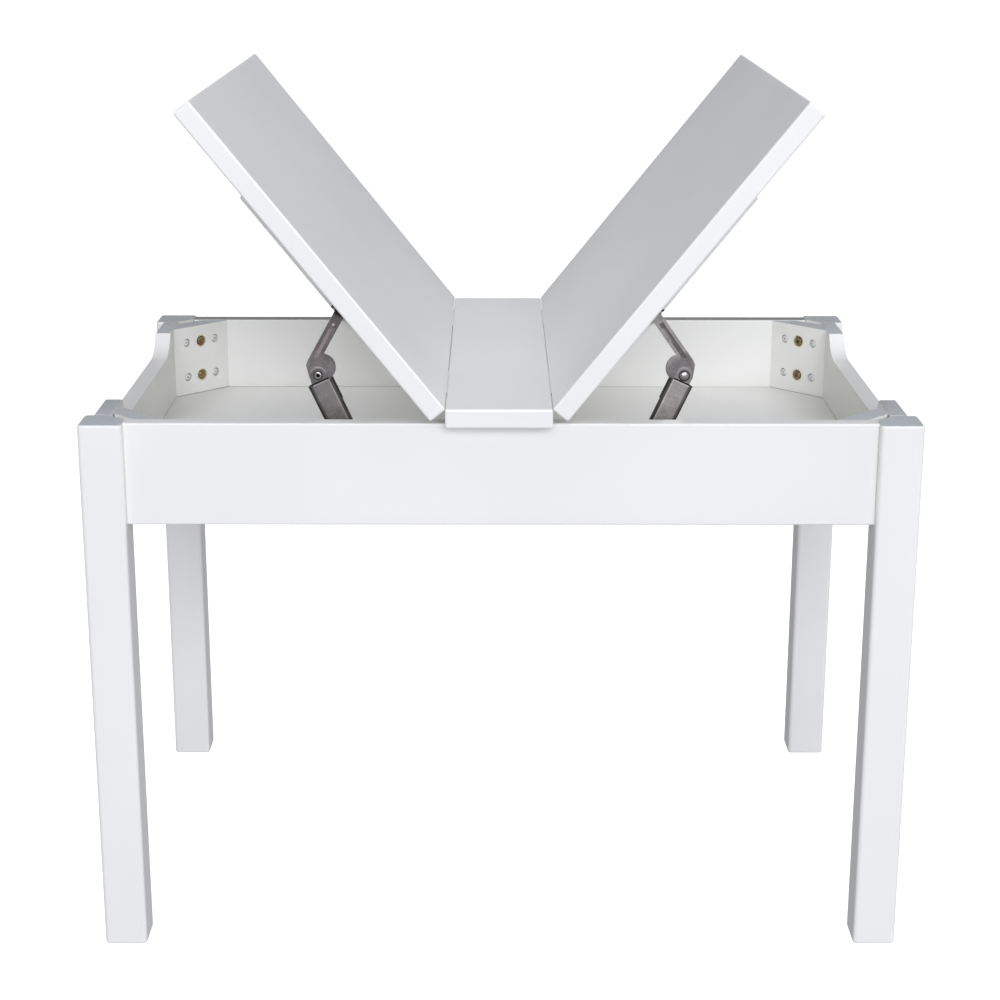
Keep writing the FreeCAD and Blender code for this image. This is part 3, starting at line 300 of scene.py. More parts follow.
def bored_lacquer():
    """The white lacquer with bare beech round the bolts: the cutter left a pale cream ring, a
    little ragged where it broke the lacquer. Both bolts of all four blocks are folded onto one."""
    # The blocks' tops carry the same painted shade as the posts' tops.
    material = top_shade_painted_lacquer("white_lacquer_bored_blocks_painted_top_shade", (0, 0, 0), "corner_block_front_left",
                              "#C3C8C6", "#CDD1CF")
    tree = material.node_tree
    surface = tree.nodes["Principled BSDF"]
    place = add(tree, "ShaderNodeTexCoord").outputs["Object"]
    mirrored = add(tree, "ShaderNodeVectorMath", {"operation": "ABSOLUTE"}, Vector=place)
    part = add(tree, "ShaderNodeSeparateXYZ", Vector=mirrored.outputs["Vector"])
    across = add(tree, "ShaderNodeMath", {"operation": "SUBTRACT"}, i0=part.outputs["X"],
                 i1=part.outputs["Y"])
    aside = add(tree, "ShaderNodeMath", {"operation": "MULTIPLY_ADD"}, i0=across.outputs["Value"],
                i1=DIAGONAL, i2=(BOLT_Y - BOLT_X) * DIAGONAL)
    level = add(tree, "ShaderNodeMath", {"operation": "SUBTRACT"}, i0=part.outputs["Z"],
                i1=BOLT_LEVEL)
    folded = add(tree, "ShaderNodeMath", {"operation": "ABSOLUTE"}, i0=level.outputs["Value"])
    off = add(tree, "ShaderNodeMath", {"operation": "SUBTRACT"}, i0=folded.outputs["Value"],
              i1=ROW_REACH)
    flat = add(tree, "ShaderNodeCombineXYZ", X=aside.outputs["Value"], Y=off.outputs["Value"])
    reach = add(tree, "ShaderNodeVectorMath", {"operation": "LENGTH"},
                Vector=flat.outputs["Vector"])
    # Chips 1.4 mm across and up to 0.8 mm deep, and year rings of the wood 0.7 mm apart.
    chips = add(tree, "ShaderNodeTexNoise", Vector=place, Scale=700.0, Detail=2.0)
    ragged = add(tree, "ShaderNodeMath", {"operation": "MULTIPLY_ADD"}, i0=chips.outputs["Fac"],
                 i1=0.0008, i2=reach.outputs["Value"])
    bare = add(tree, "ShaderNodeMapRange", Value=ragged.outputs["Value"], From_Min=BARE_RADIUS,
               From_Max=BARE_RADIUS + BARE_EDGE, To_Min=1.0, To_Max=0.0)
    rings = add(tree, "ShaderNodeTexNoise", Vector=place, Scale=1400.0, Detail=2.0)
    wood = add(tree, "ShaderNodeValToRGB", Fac=rings.outputs["Fac"])
    for stop, at, colour in zip(wood.color_ramp.elements, SPREAD, ("#E0D6B6", "#F4EEDA")):
        stop.position, stop.color = at, linear(colour)
    shown = add(tree, "ShaderNodeMix", {"data_type": "RGBA"}, i0=bare.outputs["Result"],
                i6=surface.inputs["Base Color"].links[0].from_socket, i7=wood.outputs["Color"])
    tree.links.new(shown.outputs[2], surface.inputs["Base Color"])
    return material


bored_blocks = bored_lacquer()
for corner, side_x, side_y in CORNERS:
    eased_copy("corner_block_" + corner, 0.0012, bored_blocks, "frame")


# ---- Corner bolts and block screws ----
# In each block two cap-head bolts, plated yellow, draw the leg into the corner, and four cross-head
# screws hold the block to the rails. The screws were in place when the table was sprayed.
def sunk_head(tree, size):
    """A countersunk head, its flat top at the point: its mesh, and the height of its top."""
    cone = add(tree, "GeometryNodeMeshCone", Vertices=32, Radius_Top=size["Head radius"],
               Radius_Bottom=size["Shank radius"], Depth=size["Head height"])
    deep = add(tree, "ShaderNodeMath", {"operation": "MULTIPLY"}, i0=size["Head height"], i1=-1.0)
    down = add(tree, "ShaderNodeCombineXYZ", Z=deep.outputs["Value"])
    head = add(tree, "GeometryNodeTransform", Geometry=cone.outputs["Mesh"],
               Translation=down.outputs["Vector"])
    level = add(tree, "ShaderNodeValue").outputs["Value"]
    level.default_value = 0.0
    return head.outputs["Geometry"], level


def crowned_head(tree, size):
    """A crowned head that stands on the point: its mesh, and the height of its top. A cylinder's
    rings are set to the sine and cosine of a quarter turn, each to the power of the crown."""
    blank = add(tree, "GeometryNodeMeshCylinder", Vertices=32, Side_Segments=10, Radius=1.0,
                Depth=1.0)
    spot = add(tree, "ShaderNodeSeparateXYZ",
               Vector=add(tree, "GeometryNodeInputPosition").outputs["Position"])
    swing = add(tree, "ShaderNodeMath", {"operation": "MULTIPLY_ADD"}, i0=spot.outputs["Z"],
                i1=math.pi / 2, i2=math.pi / 4)
    levels = []
    for part, scale in (("SINE", "Head height"), ("COSINE", "Head radius")):
        wave = add(tree, "ShaderNodeMath", {"operation": part}, i0=swing.outputs["Value"])
        curve = add(tree, "ShaderNodeMath", {"operation": "POWER"}, i0=wave.outputs["Value"],
                    i1=size["Crown"])
        levels.append(add(tree, "ShaderNodeMath", {"operation": "MULTIPLY"},
                          i0=curve.outputs["Value"], i1=size[scale]).outputs["Value"])
    tall, wide = levels
    across = [add(tree, "ShaderNodeMath", {"operation": "MULTIPLY"}, i0=spot.outputs[axis],
                  i1=wide).outputs["Value"] for axis in "XY"]
    moved = add(tree, "ShaderNodeCombineXYZ", X=across[0], Y=across[1], Z=tall)
    lathe = add(tree, "GeometryNodeSetPosition", Geometry=blank.outputs["Mesh"],
                Position=moved.outputs["Vector"])
    head = add(tree, "GeometryNodeMergeByDistance", Geometry=lathe.outputs["Geometry"],
               Distance=0.000001)
    return head.outputs["Geometry"], size["Head height"]


def recess_cutters(tree, recess, size):
    """The meshes that cut a head's recess, centred on its top: a key for a six-sided socket, or the
    two bars of a cross."""
    double = add(tree, "ShaderNodeMath", {"operation": "MULTIPLY"}, i0=size["Recess depth"], i1=2.0)
    if recess == "socket":
        key = add(tree, "GeometryNodeMeshCylinder", Vertices=6, Radius=size["Recess radius"],
                  Depth=double.outputs["Value"])
        return [key.outputs["Mesh"]]
    cutters = []
    long = add(tree, "ShaderNodeMath", {"operation": "MULTIPLY"}, i0=size["Recess radius"], i1=2.0)
    for length_axis, width_axis in ("XY", "YX"):
        bar = add(tree, "ShaderNodeCombineXYZ", Z=double.outputs["Value"])
        tree.links.new(long.outputs["Value"], bar.inputs[length_axis])
        tree.links.new(size["Recess width"], bar.inputs[width_axis])
        block = add(tree, "GeometryNodeMeshCube", Size=bar.outputs["Vector"])
        cutters.append(block.outputs["Mesh"])
    return cutters


def fastener_tree(name, recess, sunk=False):
    """A geometry tree that stands a fastener on every point of a mesh, its head looking along the
    point's own axis, each turned by chance about that axis. The head is crowned, or flush with a
    sunk cone, and has a six-sided socket or a cross cut into it."""
    tree = bpy.data.node_groups.new(name, "GeometryNodeTree")
    tree.interface.new_socket("Geometry", in_out="INPUT", socket_type="NodeSocketGeometry")
    for measure in ("Head radius", "Head height", "Crown", "Shank radius", "Shank length",
                    "Recess radius", "Recess width", "Recess depth"):
        tree.interface.new_socket(measure, in_out="INPUT", socket_type="NodeSocketFloat")
    tree.interface.new_socket("Finish", in_out="INPUT", socket_type="NodeSocketMaterial")
    tree.interface.new_socket("Geometry", in_out="OUTPUT", socket_type="NodeSocketGeometry")
    size = add(tree, "NodeGroupInput").outputs

    head, level = sunk_head(tree, size) if sunk else crowned_head(tree, size)
    lift = add(tree, "ShaderNodeCombineXYZ", Z=level)
    for cutter in recess_cutters(tree, recess, size):
        raised = add(tree, "GeometryNodeTransform", Geometry=cutter,
                     Translation=lift.outputs["Vector"])
        head = add(tree, "GeometryNodeMeshBoolean", {"operation": "DIFFERENCE", "solver": "EXACT"},
                   Mesh_1=head, Mesh_2=raised.outputs["Geometry"]).outputs["Mesh"]

    rod = add(tree, "GeometryNodeMeshCylinder", Vertices=12, Radius=size["Shank radius"],
              Depth=size["Shank length"])
    half = add(tree, "ShaderNodeMath", {"operation": "MULTIPLY"}, i0=size["Shank length"], i1=-0.5)
    under = add(tree, "ShaderNodeCombineXYZ", Z=half.outputs["Value"])
    shank = add(tree, "GeometryNodeTransform", Geometry=rod.outputs["Mesh"],
                Translation=under.outputs["Vector"])
    whole = add(tree, "GeometryNodeJoinGeometry", Geometry=head)
    tree.links.new(shank.outputs["Geometry"], whole.inputs["Geometry"])

    axis = add(tree, "GeometryNodeInputNamedAttribute", {"data_type": "FLOAT_VECTOR"}, Name="axis")
    aim = add(tree, "FunctionNodeAlignRotationToVector", {"axis": "Z"},
              Vector=axis.outputs["Attribute"])
    chance = add(tree, "FunctionNodeRandomValue", {"data_type": "FLOAT"}, i3=2 * math.pi, Seed=7)
    spin = add(tree, "FunctionNodeAxisAngleToRotation", Angle=chance.outputs[1])
    turned = add(tree, "FunctionNodeRotateRotation", {"rotation_space": "LOCAL"},
                 Rotation=aim.outputs["Rotation"], Rotate_By=spin.outputs["Rotation"])
    stood = add(tree, "GeometryNodeInstanceOnPoints", Points=size["Geometry"],
                Instance=whole.outputs["Geometry"], Rotation=turned.outputs["Rotation"])
    real = add(tree, "GeometryNodeRealizeInstances", Geometry=stood.outputs["Instances"])
    dressed = add(tree, "GeometryNodeSetMaterial", Geometry=real.outputs["Geometry"],
                  Material=size["Finish"])
    add(tree, "NodeGroupOutput", Geometry=dressed.outputs["Geometry"])
    return tree


def stand_fasteners(node_name, tree, places, sizes, finish, body):
    """Stands the tree's fastener on each place, given as a point and the way the head looks, and
    makes the result one plain mesh that stands for the node."""
    points = bpy.data.meshes.new(node_name + "_places")
    points.from_pydata([tuple(point) for point, way in places], [], [])
    axes = points.attributes.new("axis", "FLOAT_VECTOR", "POINT")
    for mark, (point, way) in zip(axes.data, places):
        mark.vector = Vector(way).normalized()
    piece = bpy.data.objects.new(node_name + "_turned", points)
    bpy.context.scene.collection.objects.link(piece)
    stand = piece.modifiers.new("fasteners", "NODES")
    stand.node_group = tree
    for socket in tree.interface.items_tree:
        if socket.in_out == "INPUT" and socket.name in sizes:
            stand[socket.identifier] = sizes[socket.name]
        elif socket.name == "Finish":
            stand[socket.identifier] = finish
    view = bpy.context.evaluated_depsgraph_get()
    made = bpy.data.meshes.new_from_object(piece.evaluated_get(view))
    piece.modifiers.remove(stand)
    piece.data = made
    # A head's facets turn by less than 40 degrees, and the walls of its recess by more.
    made.shade_smooth()
    made.set_sharp_from_angle(angle=math.radians(40))
    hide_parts(node_name)
    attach(piece, body)


def plated_steel(name, light, dark, rough, blotch=120.0):
    """Zinc-plated steel, passivated: a soft metal shine, dulled in cloudy patches where the
    passivation took unevenly, with a grain of 0.4 mm like fine sand. The blotch is how many patches
    lie side by side in a metre: 8 mm each as it stands, and finer on a small bolt."""
    material, tree, surface = new_finish(name)
    place = add(tree, "ShaderNodeTexCoord").outputs["Object"]
    patches = add(tree, "ShaderNodeTexNoise", Vector=place, Scale=blotch, Detail=4.0)
    tone = add(tree, "ShaderNodeValToRGB", Fac=patches.outputs["Fac"])
    for stop, at, colour in zip(tone.color_ramp.elements, SPREAD, (dark, light)):
        stop.position, stop.color = at, linear(colour)
    tree.links.new(tone.outputs["Color"], surface.inputs["Base Color"])
    surface.inputs["Metallic"].default_value = 1.0
    dull = add(tree, "ShaderNodeMapRange", Value=patches.outputs["Fac"], To_Min=rough,
               To_Max=rough + 0.15)
    tree.links.new(dull.outputs["Result"], surface.inputs["Roughness"])
    sand = add(tree, "ShaderNodeTexNoise", Vector=place, Scale=2500.0, Detail=1.0)
    grit = add(tree, "ShaderNodeBump", Height=sand.outputs["Fac"], Strength=0.15, Distance=0.0001)
    tree.links.new(grit.outputs["Normal"], surface.inputs["Normal"])
    return material


def passivated(material, one, other):
    """Lets the plating's colour drift between two tints some 33 mm apart, as yellow passivation
    does, so the eye gets one bolt more olive and the next more copper."""
    tree = material.node_tree
    surface = tree.nodes["Principled BSDF"]
    place = add(tree, "ShaderNodeTexCoord").outputs["Object"]
    drift = add(tree, "ShaderNodeTexNoise", Vector=place, Scale=30.0, Detail=1.0)
    tint = add(tree, "ShaderNodeValToRGB", Fac=drift.outputs["Fac"])
    for stop, at, colour in zip(tint.color_ramp.elements, (0.40, 0.60), (one, other)):
        stop.position, stop.color = at, linear(colour)
    shown = add(tree, "ShaderNodeMix", {"data_type": "RGBA", "blend_type": "MULTIPLY"}, i0=1.0,
                i6=surface.inputs["Base Color"].links[0].from_socket, i7=tint.outputs["Color"])
    tree.links.new(shown.outputs[2], surface.inputs["Base Color"])
    return material


yellow_zinc = passivated(
    plated_steel("yellow_zinc_plated_steel", "#E2DCD2", "#857B70", 0.32, blotch=620.0),
    "#DDB9A4", "#D3CFA6")
sprayed_steel = white_lacquer("white_lacquer_on_screws", (0, 0, 0), 0.0, "#F4F4F0", "#F7F7F3")
ROWS = (BOLT_LEVEL + ROW_REACH, BOLT_LEVEL - ROW_REACH)
socket_bolts = fastener_tree("socket_bolts", "socket")
cross_screws = fastener_tree("cross_screws", "cross")
stand_fasteners("corner_bolts", socket_bolts,
                [((side_x * BOLT_X, side_y * BOLT_Y, row), (-side_x, -side_y, 0))
                 for corner, side_x, side_y in CORNERS for row in ROWS],
                {"Head radius": 0.0055, "Head height": 0.0035, "Crown": 0.3, "Shank radius": 0.003,
                 "Shank length": 0.054, "Recess radius": 0.0029, "Recess depth": 0.0025},
                yellow_zinc, "frame")
# The screws flank the bolts along the block and sit a little deeper in it.
SCREW_ASIDE, SCREW_DEEPER = 0.022, 0.0009
screw_spots = [(BOLT_X + (SCREW_DEEPER + step) * DIAGONAL,
                BOLT_Y + (SCREW_DEEPER - step) * DIAGONAL)
               for step in (-SCREW_ASIDE, SCREW_ASIDE)]
stand_fasteners("corner_block_screws", cross_screws,
                [((side_x * x, side_y * y, row), (-side_x, -side_y, 0))
                 for corner, side_x, side_y in CORNERS for row in ROWS for x, y in screw_spots],
                {"Head radius": 0.0042, "Head height": 0.0021, "Crown": 0.8, "Shank radius": 0.002,
                 "Shank length": 0.030, "Recess radius": 0.0022, "Recess width": 0.0011,
                 "Recess depth": 0.0013},
                sprayed_steel, "frame")


# ---- Tray panel ----
# A 6 mm hardboard let into the rails' grooves, its corners cut off short of the legs. It has no
# grain of its own, so the same lacquer lies on it without pores.
board_lacquer = white_lacquer("white_lacquer_on_hardboard", (0, 0, 0), 0.0)
dress("tray_panel", board_lacquer)


# ---- Centre strip ----
# The fixed middle board of the top, of the flaps' own stock, held down by four cross-head screws
# that slant up and out through pocket holes in the long rails.
bright_zinc = plated_steel("bright_zinc_plated_steel", "#C2C2C4", "#A3A3A7", 0.25)
# The head of the screw in the rear rail on the right, and how far the screws lean outward.
STRIP_SCREW = Vector((0.030, 0.26406, 0.57422))
SLANT = math.radians(15)
dress("centre_strip", cross_grain)
stand_fasteners("strip_screws", cross_screws,
                [((side * STRIP_SCREW.x, end * STRIP_SCREW.y, STRIP_SCREW.z),
                  (0, -end * math.sin(SLANT), -math.cos(SLANT)))
                 for side in (-1, 1) for end in (-1, 1)],
                {"Head radius": 0.0042, "Head height": 0.003, "Crown": 0.5, "Shank radius": 0.00175,
                 "Shank length": 0.032, "Recess radius": 0.0022, "Recess width": 0.001,
                 "Recess depth": 0.0016},
                bright_zinc, "frame")


# ---- Butt hinges ----
# Two steel butts a side, pressed and bright zinc-plated, their leaves let into the edges of the
# strip and the flap and held by three sunk cross-head screws each, on a 2.2 mm pin.
# They were in place when the top was sprayed, so the lacquer dusted them white.
dusted_zinc = white_lacquer("white_lacquer_dust_on_zinc", (0, 0, 0), 0.0, joint=1.0)
sunk_screws = fastener_tree("sunk_cross_screws", "cross", sunk=True)
joints = {joint["name"]: joint for joint in frame["joints"]}
OPEN = math.radians(-joints["flap_left_hinge"]["range_deg"][0])
# Each open flap's hinge axis, and the ways along its board and square under it.
FLAPS = {side: {"way": way, "axis": Vector(joints[f"flap_{side}_hinge"]["pos_m"]),
                "along": Vector((way * math.cos(OPEN), 0, math.sin(OPEN))),
                "under": Vector((way * math.sin(OPEN), 0, -math.cos(OPEN)))}
         for side, way in (("left", -1), ("right", 1))}


def flap_place(side, along, under, y):
    """A place on an open flap: so far along its board from the hinge's axis, so far square under
    that, and so far to the back."""
    flap = FLAPS[side]
    return flap["axis"] + along * flap["along"] + under * flap["under"] + Vector((0, y, 0))


# How far the leaves' faces lie from the axis, and the screws' row under it.
LEAF_GAP, LEAF_SCREW_DROP = 0.0001, 0.0095
LEAF_SCREW_Y = [end * y for end in (-1, 1) for y in (0.139, 0.175, 0.211)]
LEAF_SCREW = {"Head radius": 0.0024, "Head height": 0.001, "Shank radius": 0.00125,
              "Shank length": 0.013, "Recess radius": 0.0013, "Recess width": 0.0006,
              "Recess depth": 0.0006}
stand_fasteners("hinge_strip_screws", sunk_screws,
                [(flap["axis"] + Vector((-flap["way"] * LEAF_GAP, y, -LEAF_SCREW_DROP)),
                  (flap["way"], 0, 0)) for flap in FLAPS.values() for y in LEAF_SCREW_Y],
                LEAF_SCREW, bright_zinc, "frame")
for side, flap in FLAPS.items():
    stand_fasteners("hinge_flap_screws_" + side, sunk_screws,
                    [(flap_place(side, LEAF_GAP, LEAF_SCREW_DROP, y), -flap["along"])
                     for y in LEAF_SCREW_Y],
                    LEAF_SCREW, bright_zinc, "flap_" + side)
    dress("hinge_pins_" + side, bright_zinc)
    for end in ("front", "rear"):
        dress(f"hinge_{side}_{end}_strip_leaf", dusted_zinc)
        dress(f"hinge_{side}_{end}_flap_leaf", dusted_zinc)


# ---- Flaps and their battens ----
# The two lifting boards of the top, all edges rounded, kept flat by a pair of battens each that are
# screwed up into them. A batten's inner end is rounded off and its outer end bevelled, and it has
# only a thin coat, so a little more of the grain shows.
thin_coat = white_lacquer("thin_white_lacquer_long_grain", (0, 0, 0), 0.08, joint=1.0)
# A batten's middle line, and where the heads of its three screws are on the open flap.
BATTEN_Y = 0.192
BATTEN_SCREW_START, BATTEN_SCREW_PITCH = 0.093, 0.090
BATTEN_SCREW_UNDER = 0.0372
for side, flap in FLAPS.items():
    dress("flap_" + side, cross_grain)
    for end in ("front", "rear"):
        eased_copy(f"batten_{side}_{end}", 0.0012, thin_coat, "flap_" + side)
    stand_fasteners("batten_screws_" + side, cross_screws,
                    [(flap_place(side, BATTEN_SCREW_START + count * BATTEN_SCREW_PITCH,
                                 BATTEN_SCREW_UNDER, y), flap["under"])
                     for count in range(3) for y in (-BATTEN_Y, BATTEN_Y)],
                    {"Head radius": 0.004, "Head height": 0.0024, "Crown": 0.45,
                     "Shank radius": 0.002, "Shank length": 0.0296, "Recess radius": 0.0021,
                     "Recess width": 0.001, "Recess depth": 0.0014},
                    bright_zinc, "flap_" + side)


# ---- Lid stays ----
# Folding stays pressed from 1.5 mm and 3 mm strip steel and dull zinc-plated: a ribbed arm with a
# round lobe, and a box channel folded up round it, riveted at the knee. The arm's far end turns on
# a shouldered rivet in a plate on the batten, the channel's foot on a pin in a clevis on the tray.
CHANNEL_LEAN = 24.68
BASE_X, BASE_Z = 0.15180, 0.54130
STAY_Y = joints["stay_left_knee"]["pos_m"][1]


def stay_steel(name, knee, lean, colour, marks=(), rough=0.36):
    """Dull zinc-plated pressed steel. The eye gets a cloudy grey with fine rolling lines along the
    strip, with painted highlights on what stands proud and painted shade in the folds. Each mark is
    a colour and the limits where it starts and is full, in metres from the knee: X outward across
    the strip, Y to the front, Z along it and R from the knee's middle. Both sides are folded onto
    the right."""
    material, tree, surface = new_finish(name)
    place = add(tree, "ShaderNodeTexCoord").outputs["Object"]
    mirrored = add(tree, "ShaderNodeVectorMath", {"operation": "ABSOLUTE"}, Vector=place)
    own = add(tree, "ShaderNodeMapping", {"vector_type": "TEXTURE"},
              Vector=mirrored.outputs["Vector"], Location=[abs(value) for value in knee],
              Rotation=(0, math.radians(lean), 0)).outputs["Vector"]
    part = add(tree, "ShaderNodeSeparateXYZ", Vector=own)
    level = add(tree, "ShaderNodeCombineXYZ", X=part.outputs["X"], Z=part.outputs["Z"])
    reach = add(tree, "ShaderNodeVectorMath", {"operation": "LENGTH"},
                Vector=level.outputs["Vector"])
    fields = {"X": part.outputs["X"], "Y": part.outputs["Y"], "Z": part.outputs["Z"],
              "R": reach.outputs["Value"]}
    shown = linear(colour)
    for mark, limits in marks:
        cover = 1.0
        for axis, start, full in limits:
            edge = add(tree, "ShaderNodeMapRange", Value=fields[axis], From_Min=start,
                       From_Max=full)
            cover = add(tree, "ShaderNodeMath", {"operation": "MULTIPLY"}, i0=cover,
                        i1=edge.outputs["Result"]).outputs["Value"]
        shown = add(tree, "ShaderNodeMix", {"data_type": "RGBA"}, i0=cover, i6=shown,
                    i7=linear(mark)).outputs[2]
    # Clouds 9 mm across with blots of 2 mm in them, and rolling lines 0.4 mm apart.
    clouds = add(tree, "ShaderNodeTexNoise", Vector=own, Scale=110.0, Detail=3.0)
    blots = add(tree, "ShaderNodeTexNoise", Vector=own, Scale=480.0, Detail=1.0)
    drawn = add(tree, "ShaderNodeMapping", Vector=own, Scale=(1.0, 1.0, 0.1))
    lines = add(tree, "ShaderNodeTexNoise", Vector=drawn.outputs["Vector"], Scale=2400.0,
                Detail=2.0)
    mixed = add(tree, "ShaderNodeMath", {"operation": "MULTIPLY_ADD"}, i0=blots.outputs["Fac"],
                i1=0.5, i2=clouds.outputs["Fac"])
    mottle = add(tree, "ShaderNodeMapRange", Value=mixed.outputs["Value"], From_Min=0.5,
                 From_Max=1.0, To_Min=0.70, To_Max=1.25)
    worn = add(tree, "ShaderNodeVectorMath", {"operation": "SCALE"},
               Vector=shown if marks else shown[:3], Scale=mottle.outputs["Result"])
    tree.links.new(worn.outputs["Vector"], surface.inputs["Base Color"])
    surface.inputs["Metallic"].default_value = 1.0
    dull = add(tree, "ShaderNodeMapRange", Value=mixed.outputs["Value"], From_Min=0.5,
               From_Max=1.0, To_Min=rough + 0.06, To_Max=rough - 0.06)
    tree.links.new(dull.outputs["Result"], surface.inputs["Roughness"])
    rolled = add(tree, "ShaderNodeBump", Height=lines.outputs["Fac"], Strength=0.25,
                 Distance=0.0001)
    tree.links.new(rolled.outputs["Normal"], surface.inputs["Normal"])
    return material


def steel_piece(node_name, shape, finishes, body, roll=0.0):
    """A finished steel mesh that stands for a node, its sheared edges rolled round."""
    mesh = bpy.data.meshes.new(node_name + "_steel")
    shape.to_mesh(mesh)
    shape.free()
    for finish in finishes:
        mesh.materials.append(finish)
    piece = bpy.data.objects.new(node_name + "_steel", mesh)
    bpy.context.scene.collection.objects.link(piece)
    if roll:
        rolled = piece.modifiers.new("rolled_edges", "BEVEL")
        rolled.width = roll
        rolled.segments = 2
        rolled.limit_method = "ANGLE"
        rolled.angle_limit = SHARP
        view = bpy.context.evaluated_depsgraph_get()
        mesh = bpy.data.meshes.new_from_object(piece.evaluated_get(view))
        piece.modifiers.remove(rolled)
        piece.data = mesh
    # The strip is drawn round only where its faces turn by less than 24 degrees.
    mesh.shade_smooth()
    mesh.set_sharp_from_angle(angle=math.radians(24))
    flats = piece.modifiers.new("flat_faces", "WEIGHTED_NORMAL")
    flats.weight = 100
    flats.keep_sharp = True
    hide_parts(node_name)
    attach(piece, body)


def stepped_channel(node_name, way, knee, flare):
    """The channel's mesh, its inner fold set in 0.9 mm below the end of the arm's slot, where the
    strip is folded round tighter, and its outer fold flared a little below the ears."""
    slot_end, step_height, step_depth = -0.0326, 0.0006, 0.0009
    fold_reach, ears_end = 0.009, -0.0065
    shape = merged(node_name)
    turn = Matrix.Rotation(0 if way > 0 else math.pi, 4, "Z")
    lean = Matrix.Rotation(math.radians(CHANNEL_LEAN), 4, "Y")
    own = Matrix.Translation(knee) @ turn @ lean
    shape.transform(own.inverted())
    for level in (slot_end, slot_end - step_height):
        bmesh.ops.bisect_plane(shape, geom=shape.verts[:] + shape.edges[:] + shape.faces[:],
                               plane_co=(0, 0, level), plane_no=(0, 0, 1))
    below_step = slot_end - step_height + 0.0001
    for corner in shape.verts:
        if corner.co.z < below_step and corner.co.x < -fold_reach:
            corner.co.x += step_depth
        elif corner.co.z < ears_end and corner.co.x > fold_reach:
            corner.co.x += flare
    shape.transform(own)
    return shape


def turned(profile, centre, way, inner=None):
    """A turned rivet or pin: a profile of radius and height along the way, spun whole. From the
    inner step of the profile on, its faces take the second finish."""
    shape = bmesh.new()
    steps = 40
    rings = []
    for radius, height in profile:
        count = steps if radius else 1
        rings.append([shape.verts.new((radius * math.cos(2 * math.pi * step / steps),
                                       radius * math.sin(2 * math.pi * step / steps), height))
                      for step in range(count)])
    for at, (low, high) in enumerate(zip(rings, rings[1:])):
        for step in range(steps):
            corners = [low[step % len(low)], low[(step + 1) % len(low)],
                       high[(step + 1) % len(high)], high[step % len(high)]]
            face = shape.faces.new(list(dict.fromkeys(corners)))
            face.material_index = int(inner is not None and at >= inner)
    aim = Vector(way).to_track_quat("Z", "Y").to_matrix().to_4x4()
    shape.transform(Matrix.Translation(centre) @ aim)
    bmesh.ops.recalc_face_normals(shape, faces=shape.faces)
    return shape


def dome(radius, base, height):
    """The profile of a domed head, from its rim to its pole."""
    rows = 8
    swings = [math.pi / 2 * row / rows for row in range(rows)]
    rim = [(radius * math.cos(swing), base + height * math.sin(swing)) for swing in swings]
    return rim + [(0, base + height)]


# What differs from side to side: how the arm leans, how far the channel's outer fold is flared and
# where it starts, the radius of the rivet's painted shade, and the tones: the same steel is painted
# lighter on the right, which catches more light, and darker on the left. The arm's own marks are,
# from the knee up, on the left a painted highlight on the rib, the flat inside it, a painted glint
# and the painted shade under the flap, and on the right, where the rib's hollow back shows, painted
# shade in that hollow, a paler stretch of it and the flap's painted shade.
STAYS = {
    "left": {
        "lean": -29.05, "flare": 0.0016, "fold": 0.0096, "shade": 0.0039,
        "web": "#918E8A", "lip": "#B9B4AF", "ear": "#7E7A77", "shank": "#7A7673",
        "arm_marks": (
            ("#A49994", [("Y", 0.0019, 0.0022), ("Z", 0.0540, 0.0480)]),
            ("#8A8380", [("X", 0.0103, 0.0098), ("Z", 0.0300, 0.0380), ("Z", 0.0540, 0.0480)]),
            ("#D9D0CB", [("X", 0.0098, 0.0104), ("X", 0.0130, 0.0124), ("Z", 0.0545, 0.0552),
                         ("Z", 0.0578, 0.0571)]),
            ("#35322F", [("Z", 0.0655, 0.0680)]))},
    "right": {
        "lean": -35.19, "flare": 0.0, "fold": 0.0085, "shade": 0.0049,
        "web": "#ADA9A4", "lip": "#D2CDC9", "ear": "#9A9692", "shank": "#B0ABA7",
        "arm_marks": (
            ("#74706D", [("Y", 0.0017, 0.0013), ("X", 0.0086, 0.0092), ("X", 0.0140, 0.0134),
                         ("Z", 0.0145, 0.0152), ("Z", 0.0610, 0.0602)]),
            ("#9E9995", [("X", 0.0086, 0.0092), ("X", 0.0112, 0.0106), ("Y", 0.0017, 0.0013),
                         ("Z", 0.0340, 0.0400), ("Z", 0.0560, 0.0540)]),
            ("#55514E", [("Z", 0.0690, 0.0710)]))}}
BATTEN_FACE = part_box("batten_left_front")[0].y
PLATE, PLATE_SCREW_STEP = 0.0025, 0.016
RIVET_HALF = 0.0031
PIN_HALF = 0.0075
